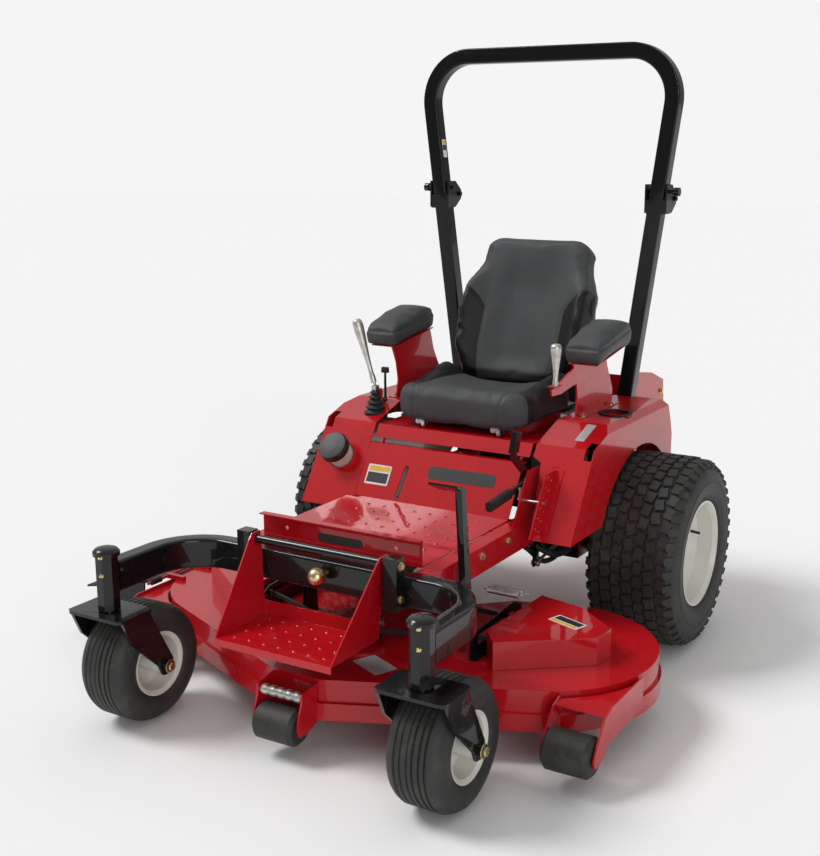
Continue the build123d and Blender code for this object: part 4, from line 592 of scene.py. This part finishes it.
class MOWER_OT_wheel_fittings(bpy.types.Operator):
    """Lug bolts, valve stems and axle nuts"""

    bl_idname = "mower.wheel_fittings"
    bl_label = "Wheel bolts"

    def execute(self, context):
        for name, side in SIDES.items():
            axle = joint(f"rear_wheel_{name}_spin")
            disc = axle.x + side * 0.0382
            bolts = []
            for turn in range(5):
                angle = 2 * pi * turn / 5 + 0.3
                place = (disc, axle.y + 0.05 * sin(angle), axle.z + 0.05 * cos(angle))
                bolts.append(hex_bolt(place, (side, 0, 0), 0.011))
            finish_piece(f"lug_bolts_{name}", joined(bolts), "zinc_steel", f"rear_wheel_{name}", 30.0, ())
            stem = rod((axle.x + side * 0.06, axle.y + 0.118, axle.z + 0.03),
                       (axle.x + side * 0.092, axle.y + 0.11, axle.z + 0.03), 0.0045)
            finish_piece(f"valve_stem_{name}", stem, "black_rubber", f"rear_wheel_{name}", 30.0, ())
            fork_low, fork_high = box_of(f"caster_fork_{name}")
            pin = joint(f"caster_{name}_spin")
            nuts = [hex_bolt((fork_low.x + 0.003, pin.y, pin.z), (-1, 0, 0), 0.013),
                    hex_bolt((fork_high.x - 0.003, pin.y, pin.z), (1, 0, 0), 0.013)]
            for nut in nuts:
                for corner in nut.verts:
                    corner.co.x = min(max(corner.co.x, fork_low.x - 0.012), fork_high.x + 0.012)
            finish_piece(f"axle_nuts_{name}", joined(nuts), "gold_zinc", f"fork_{name}", 30.0, ())
            king = joint(f"caster_{name}_swivel")
            zerks = []
            for height in (0.10, 0.05):
                place = Vector((king.x + 0.012, king.y - 0.0295, 0.40 + height))
                zerks.append(turned([(0, 0), (0.006, 0), (0.006, 0.003), (0.0035, 0.004), (0.0035, 0.008),
                                     (0.0022, 0.009), (0.003, 0.011), (0, 0.013)], aim(place, (0.1, -1, 0)), 14))
            finish_piece(f"grease_points_{name}", joined(zerks), "gold_zinc", "chassis", 35.0, ())
        return {"FINISHED"}


# --- Soft pieces ------------------------------------------------------------------------------
def padded_copy(node, name, inset, voxel, swell, pressure=4.0):
    """Remeshed, puffed copy of a CAD pad."""
    made = bmesh.new()
    made.from_mesh(NODES[node].data)
    bmesh.ops.remove_doubles(made, verts=made.verts, dist=2e-5)
    middle_point = middle(node)
    low, high = box_of(node)
    size = high - low
    scale = [(part - 2 * inset) / part for part in size]
    for corner in made.verts:
        corner.co = middle_point + Vector(a * b for a, b in zip(corner.co - middle_point, scale))
    piece = finish_piece(name, made, "seat_vinyl", None)
    bpy.context.view_layer.objects.active = piece
    piece.select_set(True)
    grid = piece.modifiers.new("grid", "REMESH")
    grid.mode = "VOXEL"
    grid.voxel_size = voxel
    bpy.ops.object.modifier_apply(modifier=grid.name)
    rest = [corner.co.copy() for corner in piece.data.vertices]
    cloth = piece.modifiers.new("swell", "CLOTH")
    cloth.settings.use_pressure = True
    cloth.settings.uniform_pressure_force = pressure
    cloth.settings.effector_weights.gravity = 0.0
    cloth.settings.quality = 5
    cloth.point_cache.frame_end = 20
    scene = bpy.context.scene
    for step in range(1, 21):
        scene.frame_set(step)
    bpy.ops.object.modifier_apply(modifier=cloth.name)
    scene.frame_set(1)
    for corner, start in zip(piece.data.vertices, rest):
        move = corner.co - start
        if move.length > swell:
            corner.co = start + move.normalized() * swell
    return piece


def shaped(piece, shape):
    """Move each vertex by a function of its place and normal."""
    normals = [corner.normal.copy() for corner in piece.data.vertices]
    for corner, normal in zip(piece.data.vertices, normals):
        corner.co += shape(corner.co.copy(), normal)
    piece.data.update()


def relaxed(piece, rounds):
    """Smooth the skin a little."""
    made = bmesh.new()
    made.from_mesh(piece.data)
    for _ in range(rounds):
        bmesh.ops.smooth_vert(made, verts=made.verts, factor=0.5, use_axis_x=True, use_axis_y=True,
                              use_axis_z=True)
    made.to_mesh(piece.data)
    made.free()


def subdivided(piece):
    extra = piece.modifiers.new("smooth", "SUBSURF")
    extra.levels = 1
    extra.render_levels = 1
    bpy.context.view_layer.objects.active = piece
    bpy.ops.object.modifier_apply(modifier=extra.name)
    piece.data.shade_smooth()


def step_up(value, low, high):
    part = min(max((value - low) / (high - low), 0.0), 1.0)
    return part * part * (3 - 2 * part)


def groove(distance, width):
    """1 on a seam's line, falling to 0 at its width."""
    part = min(abs(distance) / width, 1.0)
    return (1 - part * part) ** 2


def two_vinyls(piece, is_bolster):
    """Second vinyl on the faces where the test holds."""
    piece.data.materials.append(FINISHES["bolster_vinyl"])
    for face in piece.data.polygons:
        if is_bolster(face.center):
            face.material_index = 1


class MOWER_OT_seat(bpy.types.Operator):
    """Seat cushion and backrest with bolsters and seams"""

    bl_idname = "mower.seat"
    bl_label = "Seat"

    def execute(self, context):
        _, _, pads = settings()
        low, high = box_of("seat_cushion")
        centre = (low + high) / 2
        half = (high.x - low.x) / 2
        cushion = padded_copy("seat_cushion", "seat_cushion_pad", 0.010, pads.voxel, pads.swell)
        relaxed(cushion, 3)

        def widened(place):
            """Place in the drawn cushion: wider, deeper at the front and thicker than its plain solid."""
            front = place.y - low.y
            rise = (place.z - low.z) / (high.z - low.z)
            nose = 1 - step_up(front, 0.02, 0.13)
            return Vector((centre.x + (place.x - centre.x) * 1.075, place.y - 0.012 * nose,
                           place.z + 0.012 * rise + nose * (rise * 0.006 - (1 - rise) * 0.022)))

        for corner in cushion.data.vertices:
            corner.co = widened(corner.co)

        def cushion_seam(place):
            """Distance outside the seam between the middle and the side bolster."""
            front = place.y - low.y
            line = half * (0.72 - 0.08 * step_up(front, 0.10, 0.34) + 0.42 * (1 - step_up(front, 0.02, 0.10)))
            return abs(place.x - centre.x) - line

        def cushion_shape(place, normal):
            up = step_up(normal.z, 0.1, 0.7)
            across = abs(place.x - centre.x) / half
            front = place.y - low.y
            bolster = step_up(across, 0.60, 0.90) * step_up(front, 0.10, 0.30)
            dip = -0.016 * (1 - step_up(across, 0.25, 0.7)) * step_up(front, 0.05, 0.22)
            seam = -0.006 * groove(cushion_seam(place), 0.009) * step_up(front, 0.02, 0.08)
            corner_seam = -0.004 * groove(across - 0.62 - 1.5 * max(0.0, front), 0.035)
            corner_seam *= 1 - step_up(front, 0.10, 0.16)
            return Vector((0, 0, up * (bolster * 0.036 + dip + seam))) + normal * corner_seam

        shaped(cushion, cushion_shape)
        subdivided(cushion)
        two_vinyls(cushion, lambda place: cushion_seam(place) > 0.0)
        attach(cushion, "seat")
        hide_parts("seat_cushion")

        back_low, back_high = box_of("seat_back")
        back = padded_copy("seat_back", "seat_back_pad", 0.012, pads.voxel, pads.swell)
        relaxed(back, 3)
        lean = radians(24)
        along = Vector((0, sin(lean), cos(lean)))
        outward = Vector((0, -cos(lean), sin(lean)))
        foot = Vector((centre.x, back_low.y, back_low.z))
        height = (back_high.z - back_low.z) / cos(lean)
        back_half = (back_high.x - back_low.x) / 2

        for corner in back.data.vertices:
            rise = (corner.co - foot).dot(along) / height
            spread = 1.10 + 0.24 * step_up(rise, 0.55, 0.95)
            corner.co.x = centre.x + (corner.co.x - centre.x) * spread
            corner.co += along * 0.012 * step_up(rise, 0.5, 1.0)

        def back_seam(place):
            """Distance outside the line between the middle panel and the side bolster."""
            rise = (place - foot).dot(along) / height
            line = back_half * (0.56 + 0.06 * step_up(rise, 0.05, 0.3) + 0.62 * step_up(rise, 0.50, 0.78))
            return abs(place.x - centre.x) - line

        def back_shape(place, normal):
            face = step_up(normal.dot(outward), 0.1, 0.7)
            rise = (place - foot).dot(along) / height
            across = abs(place.x - centre.x) / back_half
            beyond = back_seam(place)
            bolster = step_up(across, 0.58, 0.95) * step_up(rise, 0.02, 0.25) * (1 - step_up(rise, 0.55, 0.85))
            hollow = -0.018 * (1 - step_up(across, 0.2, 0.62)) * step_up(rise, 0.05, 0.25)
            hollow *= 1 - step_up(rise, 0.62, 0.92)
            seam = -0.006 * groove(beyond, 0.009) * (1 - step_up(rise, 0.84, 0.9))
            return outward * face * (bolster * 0.046 + hollow + seam)

        shaped(back, back_shape)
        relaxed(back, 2)
        subdivided(back)
        two_vinyls(back, lambda place: back_seam(place) > 0.0
                   and (place - foot).dot(along) / height < 0.76)
        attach(back, "seat")
        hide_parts("seat_back")
        return {"FINISHED"}


class MOWER_OT_armrests(bpy.types.Operator):
    """Padded armrests with a seam round them"""

    bl_idname = "mower.armrests"
    bl_label = "Armrests"

    def execute(self, context):
        _, _, pads = settings()
        low, high = box_of("armrest_pads")
        pad = padded_copy("armrest_pads", "armrest_pads_soft", 0.0, pads.voxel * 0.8, 0.006, 3.0)
        relaxed(pad, 6)
        width = 0.114

        def pad_shape(place, normal):
            side = 1 if place.x > middle("armrest_pads").x else -1
            inner = middle("armrest_pads").x + side * ((high.x - low.x) / 2 - width / 2)
            across = (place.x - inner) / (width / 2)
            along = (place.y - low.y) / (high.y - low.y)
            line = low.z + 0.045 + 0.045 * along
            seam = -0.0035 * groove(place.z - line, 0.007) * (1 - step_up(abs(normal.z), 0.5, 0.9))
            crown = 0.004 * (1 - across * across) * step_up(normal.z, 0.3, 0.9)
            return normal * seam + Vector((0, 0, crown - 0.002))

        shaped(pad, pad_shape)
        subdivided(pad)
        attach(pad, "chassis")
        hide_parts("armrest_pads")
        return {"FINISHED"}


# --- Controls ---------------------------------------------------------------------------------
def baton(start, direction, length):
    """Slim waist that swells to a round end."""
    points = [(0, 0), (0.0095, 0), (0.0095, 0.10), (0.0078, 0.13), (0.0075, 0.22), (0.0085, 0.34),
              (0.0108, 0.50), (0.0138, 0.66), (0.0160, 0.78), (0.0172, 0.88), (0.0168, 0.93), (0.0140, 0.97),
              (0.0080, 0.993), (0, 1.0)]
    return turned([(radius, part * length) for radius, part in points], aim(start, direction), 36)


class MOWER_OT_sticks(bpy.types.Operator):
    """Drive stick, hand grip and ribbed boot"""

    bl_idname = "mower.sticks"
    bl_label = "Sticks"

    def execute(self, context):
        lean = radians(16.4)
        direction = Vector((-sin(lean), -0.04, cos(lean)))
        stick = baton(KNUCKLE + direction.normalized() * 0.016, direction, 0.216)
        eye = rod(KNUCKLE - Vector((0, 0.006, 0)), KNUCKLE + Vector((0, 0.006, 0)), 0.0075)
        neck = rod(KNUCKLE + Vector((0, 0, 0.003)), KNUCKLE + direction.normalized() * 0.02, 0.0048)
        finish_piece("drive_stick", joined([stick, eye, neck]), "silver_grip", "stick", 50.0,
                     ("joystick_lever",))
        low, high = box_of("hand_grip")
        base = Vector(((low.x + high.x) / 2, (low.y + high.y) / 2, low.z))
        grip = baton(base, (0, 0, 1), high.z - low.z)
        finish_piece("hand_grip_baton", grip, "silver_grip", "chassis", 50.0, ("hand_grip",))
        rings = []
        start_z, top_z, count = -0.014, 0.052, 5
        for ring in range(count):
            part = ring / (count - 1)
            outer = 0.037 - 0.019 * part
            at = start_z + (top_z - start_z) * part
            rings += [(outer - 0.006, at - 0.0035), (outer, at), (outer, at + 0.003),
                      (outer - 0.006, at + 0.0065)]
        skin = [(0.0395, -0.030), (0.0395, -0.017), (0.036, -0.016)] + rings + [(0.0135, 0.062), (0.0125, 0.062)]
        inner = [(radius - 0.0018, at) for radius, at in reversed(skin)]
        boot = turned(skin + inner, aim(STICK_PIVOT, (0, 0, 1)), 36, closed=True)
        piece = finish_piece("stick_boot", boot, "black_rubber", None, 40.0, ("control_boot",))
        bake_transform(piece)
        return {"FINISHED"}


class MOWER_OT_fuel_cap(bpy.types.Operator):
    """Ribbed fuel cap"""

    bl_idname = "mower.fuel_cap"
    bl_label = "Fuel cap"

    def execute(self, context):
        axis = Vector((0, -sin(radians(50)), cos(radians(50))))
        low = joint("fuel_cap_spin") + axis * 0.035
        ribs = []
        skirt = turned([(0.036, 0), (0.0485, 0), (0.0495, 0.003), (0.0495, 0.020), (0.046, 0.0265),
                        (0.030, 0.029), (0.012, 0.0295), (0, 0.0295)], aim(low, axis), 48)
        for turn in range(10):
            angle = 2 * pi * (turn + 0.5) / 10
            lobe = slab((0.010, 0.019, 0.021), aim(low, axis, (1, 0, 0)) @ Matrix.Rotation(angle, 4, "Z")
                        @ Matrix.Translation((0.0455, 0, 0.0125)), 0.003, 3)
            ribs.append(lobe)
        ribs.append(turned([(0, 0.0294), (0.022, 0.0294), (0.022, 0.0298), (0.020, 0.0299), (0, 0.0299)],
                           aim(low, axis), 32))
        finish_piece("fuel_cap_ribbed", joined([skirt] + ribs), "black_plastic", "tank_cap", 35.0,
                     ("fuel_cap",))
        return {"FINISHED"}


class MOWER_OT_springs(bpy.types.Operator):
    """Coil springs with hooked ends"""

    bl_idname = "mower.springs"
    bl_label = "Springs"

    def execute(self, context):
        low, high = box_of("springs")
        coils = []
        wire, radius = 0.0016, 0.0082
        length, turns = 0.100, 22
        for y, z in ((low.y + 0.010, high.z - 0.010), (high.y - 0.010, low.z + 0.010)):
            ring = bmesh.new()
            bmesh.ops.create_circle(ring, segments=8, radius=wire)
            ring.transform(Matrix.Rotation(pi / 2, 4, "X"))
            ring.transform(Matrix.Translation((radius, 0, 0)))
            steps = turns * 18
            bmesh.ops.spin(ring, geom=ring.verts[:] + ring.edges[:], cent=(0, 0, 0), axis=(0, 0, 1),
                           dvec=(0, 0, length / steps), angle=2 * pi * turns, steps=steps)
            bmesh.ops.holes_fill(ring, edges=[e for e in ring.edges if e.is_boundary], sides=0)
            bmesh.ops.recalc_face_normals(ring, faces=ring.faces)
            ring.transform(aim((low.x + 0.014, y, z), (1, 0, 0)))
            coils.append(ring)
            coils.append(rod((low.x, y, z), (low.x + 0.016, y, z), 0.0019, 10))
            coils.append(rod((high.x - 0.016, y, z), (high.x, y, z), 0.0019, 10))
        finish_piece("deck_springs", joined(coils), "zinc_steel", "chassis", 60.0, ("springs",))
        return {"FINISHED"}


def touch(node, start, direction):
    """Point and normal where a line from start meets a CAD node."""
    mesh = NODES[node].data
    tree = BVHTree.FromPolygons([v.co for v in mesh.vertices], [f.vertices for f in mesh.polygons])
    place, normal, _, _ = tree.ray_cast(Vector(start), Vector(direction))
    if place is None:
        raise RuntimeError(f"nothing of {node} lies beyond {start}")
    return place, normal


def plate_on(name, node, start, direction, side, width, height, finish, bands=(), corner=0.3):
    """Blank plate laid on a CAD node; side is the plate's upward direction."""
    place, normal = touch(node, start, direction)
    matrix = aim(place, normal, side)
    radius = min(width, height) * corner * 0.5
    made = bmesh.new()
    bmesh.ops.create_cube(made, size=1.0)
    made.transform(Matrix.Diagonal((width, height, 0.0009, 1.0)))
    upright = [e for e in made.edges if abs(e.verts[0].co.z - e.verts[1].co.z) > 1e-5]
    bmesh.ops.bevel(made, geom=upright, offset=radius, affect="EDGES", segments=5, profile=0.5, material=-1)
    made.transform(matrix @ Matrix.Translation((0, 0, 0.0003)))
    body = NODES[node]["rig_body"]
    finish_piece(name, made, finish, body, 30.0)
    for number, (band_finish, low, high) in enumerate(bands):
        strip = slab((width * 0.88, height * (high - low), 0.0004),
                     matrix @ Matrix.Translation((0, height * ((low + high) / 2 - 0.5), 0.00088)))
        finish_piece(f"{name}_band_{number}", strip, band_finish, body, 30.0)


SAFETY = (("label_amber", 0.68, 0.92), ("label_dark", 0.1, 0.6))


class MOWER_OT_labels(bpy.types.Operator):
    """Blank plates where the real machine carries stickers"""

    bl_idname = "mower.labels"
    bl_label = "Blank plates"

    def execute(self, context):
        above = (0, 0, -1)
        ahead = (0, 1, 0)
        for name, side in SIDES.items():
            plate_on(f"cover_plate_{name}", "belt_covers", (0.136 + side * 0.551, -0.285, 0.6), above,
                     (side * -0.35, -1, 0), 0.105, 0.048, "label_white", SAFETY, 0.15)
            plate_on(f"hoop_plate_{name}", "hoop_top",
                     (0.136 + side * 0.2, 0.672, 1.56), (side, 0, 0), (0, 0, 1), 0.024, 0.062, "label_white",
                     (("label_amber", 0.76, 0.94), ("label_dark", 0.4, 0.7)), 0.15)
        plate_on("deck_plate", "deck_shell", (0.287, -0.64, 0.4), above, (0.45, 1, 0), 0.115, 0.07,
                 "label_grey", (), 0.1)
        plate_on("panel_plate", "front_panel", (-0.088, -0.6, 0.546), ahead, (0, 0, 1), 0.086, 0.066,
                 "label_white", SAFETY, 0.15)
        plate_on("name_plate", "front_panel", (0.205, -0.6, 0.574), ahead, (0, 0, 1), 0.235, 0.042,
                 "label_dark", (), 0.6)
        plate_on("toe_plate_inlay", "floor_pan", (0.136, -0.9, 0.511), ahead, (0, 0, 1), 0.15, 0.024,
                 "label_dark", (), 1.0)
        plate_on("console_plate", "console_left", (0.545, 0.13, 1.0), above, (0, 1, 0), 0.03, 0.10,
                 "label_grey", (), 0.2)
        return {"FINISHED"}


class MOWER_OT_small_parts(bpy.types.Operator):
    """Rubber ring of the cup holder and the seat's front catches"""

    bl_idname = "mower.small_parts"
    bl_label = "Ring and catches"

    def execute(self, context):
        ring = turned([(0.0425, -0.004), (0.0425, 0.003), (0.0445, 0.0048), (0.052, 0.0048), (0.0545, 0.003),
                       (0.0545, 0.0002), (0.0455, 0.0002), (0.0455, -0.004)],
                      aim((0.547, 0.356, 0.740), (0, 0, 1)), 48, closed=True)
        finish_piece("cup_ring", ring, "black_rubber", "chassis", 40.0, ())
        low, high = box_of("seat_base")
        for name, side in SIDES.items():
            at = Vector(((low.x + high.x) / 2 + side * 0.135, low.y - 0.002, high.z - 0.010))
            catch = [slab((0.034, 0.008, 0.016), Matrix.Translation(at), 0.0015),
                     slab((0.012, 0.014, 0.022), Matrix.Translation(at + Vector((0.013, -0.004, -0.004))), 0.002),
                     hex_bolt(at + Vector((-0.009, -0.004, 0)), (0, -1, 0), 0.0055)]
            finish_piece(f"seat_catch_{name}", joined(catch), "zinc_steel", "seat", 30.0, ())
        return {"FINISHED"}


def hose(points, radius, steps=10):
    """Round tube along a smooth line through the points."""
    line = bpy.data.curves.new("hose", "CURVE")
    line.dimensions = "3D"
    line.bevel_depth = radius
    line.bevel_resolution = 3
    line.use_fill_caps = True
    spline = line.splines.new("BEZIER")
    spline.bezier_points.add(len(points) - 1)
    for knot, place in zip(spline.bezier_points, points):
        knot.co = place
        knot.handle_left_type = knot.handle_right_type = "AUTO"
    spline.resolution_u = steps
    holder = bpy.data.objects.new("hose", line)
    mesh = holder.to_mesh()
    made = bmesh.new()
    made.from_mesh(mesh)
    holder.to_mesh_clear()
    bpy.data.objects.remove(holder)
    bpy.data.curves.remove(line)
    bmesh.ops.remove_doubles(made, verts=made.verts, dist=1e-5)
    return made


class MOWER_OT_drive_lines(bpy.types.Operator):
    """Hoses and control rods of the drive units"""

    bl_idname = "mower.drive_lines"
    bl_label = "Drive lines"

    def execute(self, context):
        centre = middle("drive_units").x
        unit_low, unit_high = box_of("drive_units")
        rail_side = (box_of("main_frame")[1].x - box_of("main_frame")[0].x) / 2
        top = unit_high.z - 0.010
        hoses, rods, ends, cranks = [], [], [], []
        for side in SIDES.values():
            outside = centre + side * (rail_side + 0.014)
            under = centre + side * (rail_side - 0.030)
            hoses.append(hose([(under, unit_low.y + 0.03, top), (outside, unit_low.y - 0.09, 0.345),
                               (outside, unit_low.y - 0.22, 0.325), (under, unit_low.y - 0.33, 0.385)], 0.0105))
            hoses.append(hose([(under - side * 0.03, unit_low.y + 0.03, top), (under, unit_low.y - 0.07, 0.315),
                               (under, unit_low.y - 0.20, 0.290), (under, unit_low.y - 0.36, 0.380)], 0.0085))
            hub = Vector((under + side * 0.012, unit_low.y - 0.29, 0.375))
            cranks.append(slab((0.006, 0.085, 0.040), Matrix.Translation(hub), 0.0025))
            cranks.append(slab((0.006, 0.038, 0.095), Matrix.Translation(hub - Vector((0, 0.020, 0.020))),
                               0.0025))
            cranks.append(rod(hub - Vector((0.018, 0, 0)), hub + Vector((0.018, 0, 0)), 0.014))
            start = Vector((under + side * 0.012, unit_low.y - 0.01, 0.352))
            tip = hub - Vector((0, 0.020, 0.058))
            rods.append(rod(start, tip, 0.005, 12))
            for end in (start, tip):
                ends.append(rod(end - Vector((0.012, 0, 0)), end + Vector((0.012, 0, 0)), 0.010, 16))
        finish_piece("bell_cranks", joined(cranks), "black_paint", "chassis", 30.0, ())
        finish_piece("drive_hoses", joined(hoses), "black_rubber", "chassis", 50.0, ())
        finish_piece("control_rods", joined(rods), "gold_zinc", "chassis", 50.0, ())
        finish_piece("rod_ends", joined(ends), "zinc_steel", "chassis", 40.0, ())
        return {"FINISHED"}


class MOWER_OT_deck_grip(bpy.types.Operator):
    """Ribbed silver grip over the nose roller"""

    bl_idname = "mower.deck_grip"
    bl_label = "Deck grip"

    def execute(self, context):
        low, high = box_of("roller_front")
        centre = Vector(((low.x + high.x) / 2, -0.846, 0.172))
        half, beads = 0.064, 5
        line = [(0.0, -half)]
        for bead in range(beads):
            start = -half + 2 * half * bead / beads
            run = 2 * half / beads
            line += [(0.0122, start + 0.0005), (0.0146, start + run * 0.22), (0.0155, start + run * 0.5),
                     (0.0146, start + run * 0.78), (0.0122, start + run - 0.0005)]
        line += [(0.0, half)]
        finish_piece("deck_grip_ribbed", turned(line, aim(centre, (1, 0, 0)), 28), "silver_grip", "deck", 50.0,
                     ())
        return {"FINISHED"}


# Camera: place in metres, angles in degrees, focal length in millimetres
EYE = (1.9792, -3.1663, 1.5352)
EYE_TURN = 29.324
EYE_DIP = 12.839
EYE_ROLL = 0.3055
EYE_LENS = 51.1
EYE_SHIFT = (-0.0644, 0.0053)


class MOWER_OT_stage(bpy.types.Operator):
    """Floor, light and camera"""

    bl_idname = "mower.stage"
    bl_label = "Stage"

    def execute(self, context):
        scene = context.scene
        floor = bmesh.new()
        bmesh.ops.create_grid(floor, x_segments=1, y_segments=1, size=40.0)
        floor.transform(Matrix.Translation((0, 0, -0.0005)))
        mesh = bpy.data.meshes.new("floor")
        floor.to_mesh(mesh)
        floor.free()
        ground = bpy.data.objects.new("floor", mesh)
        scene.collection.objects.link(ground)
        pale = Finish("floor_pale", (0.93, 0.93, 0.93), 0.95)
        pale.set("Specular IOR Level", 0.0)
        mesh.materials.append(pale.material)
        world = bpy.data.worlds.new("studio")
        scene.world = world
        world.use_nodes = True
        tree = world.node_tree
        backdrop = tree.nodes["Background"]
        backdrop.inputs["Color"].default_value = (0.913, 0.913, 0.913, 1)
        glow = tree.nodes.new("ShaderNodeBackground")
        place = tree.nodes.new("ShaderNodeTexCoord")
        lean = tree.nodes.new("ShaderNodeVectorMath")
        lean.operation = "DOT_PRODUCT"
        lean.inputs[1].default_value = (-0.25, 0.35, 0.9)
        rise = tree.nodes.new("ShaderNodeMapRange")
        rise.inputs["From Min"].default_value = 0.0
        rise.inputs["From Max"].default_value = 0.9
        rise.inputs["To Min"].default_value = 0.10
        rise.inputs["To Max"].default_value = 0.85
        seen = tree.nodes.new("ShaderNodeLightPath")
        both = tree.nodes.new("ShaderNodeMixShader")
        for start, end in ((place.outputs["Generated"], lean.inputs[0]),
                           (lean.outputs["Value"], rise.inputs["Value"]),
                           (rise.outputs["Result"], glow.inputs["Strength"]),
                           (seen.outputs["Is Camera Ray"], both.inputs[0]), (glow.outputs[0], both.inputs[1]),
                           (backdrop.outputs[0], both.inputs[2]),
                           (both.outputs[0], tree.nodes["World Output"].inputs["Surface"])):
            tree.links.new(start, end)
        scene.view_settings.view_transform = "Standard"
        for name, direction, spread, power in (("key", (-1.0, -0.4, 1.3), 22.0, 1.7),
                                               ("fill", (1.0, -1.0, 0.4), 35.0, 0.9)):
            lamp = bpy.data.lights.new(name, "SUN")
            lamp.angle = radians(spread)
            lamp.energy = power
            holder = bpy.data.objects.new(name, lamp)
            holder.matrix_world = aim(Vector(direction) * 4, direction)
            scene.collection.objects.link(holder)
        lens = bpy.data.cameras.new("camera")
        lens.sensor_width = 36.0
        lens.lens = EYE_LENS
        lens.shift_x, lens.shift_y = EYE_SHIFT
        lens.clip_end = 200.0
        eye = bpy.data.objects.new("camera", lens)
        eye.matrix_world = (Matrix.Translation(EYE) @ Matrix.Rotation(radians(EYE_TURN), 4, "Z")
                            @ Matrix.Rotation(radians(90 - EYE_DIP), 4, "X")
                            @ Matrix.Rotation(radians(EYE_ROLL), 4, "Z"))
        scene.collection.objects.link(eye)
        scene.camera = eye
        return {"FINISHED"}


class MOWER_PT_looks(bpy.types.Panel):
    """Lists the steps of the mower's looks"""

    bl_label = "Zero turn mower"
    bl_idname = "MOWER_PT_looks"
    bl_space_type = "VIEW_3D"
    bl_region_type = "UI"
    bl_category = "Mower"

    def draw(self, context):
        for step in OPERATORS:
            self.layout.operator(step.bl_idname)


GROUPS = {"mower_paint": MowerPaintSettings, "mower_tyres": MowerTyreSettings, "mower_seat": MowerSeatSettings}
OPERATORS = (MOWER_OT_finishes, MOWER_OT_frame_edges, MOWER_OT_tyres, MOWER_OT_wheel_fittings, MOWER_OT_seat,
             MOWER_OT_armrests, MOWER_OT_sticks, MOWER_OT_fuel_cap, MOWER_OT_springs, MOWER_OT_labels,
             MOWER_OT_small_parts, MOWER_OT_drive_lines, MOWER_OT_deck_grip, MOWER_OT_stage)


def register():
    for kind in (*GROUPS.values(), *OPERATORS, MOWER_PT_looks):
        bpy.utils.register_class(kind)
    for name, kind in GROUPS.items():
        setattr(bpy.types.Scene, name, bpy.props.PointerProperty(type=kind))


def unregister():
    for name in GROUPS:
        delattr(bpy.types.Scene, name)
    for kind in reversed((*GROUPS.values(), *OPERATORS, MOWER_PT_looks)):
        bpy.utils.unregister_class(kind)


def main():
    register()
    for step in OPERATORS:
        group, action = step.bl_idname.split(".")
        getattr(getattr(bpy.ops, group), action)()


if __name__ == "__main__":
    main()
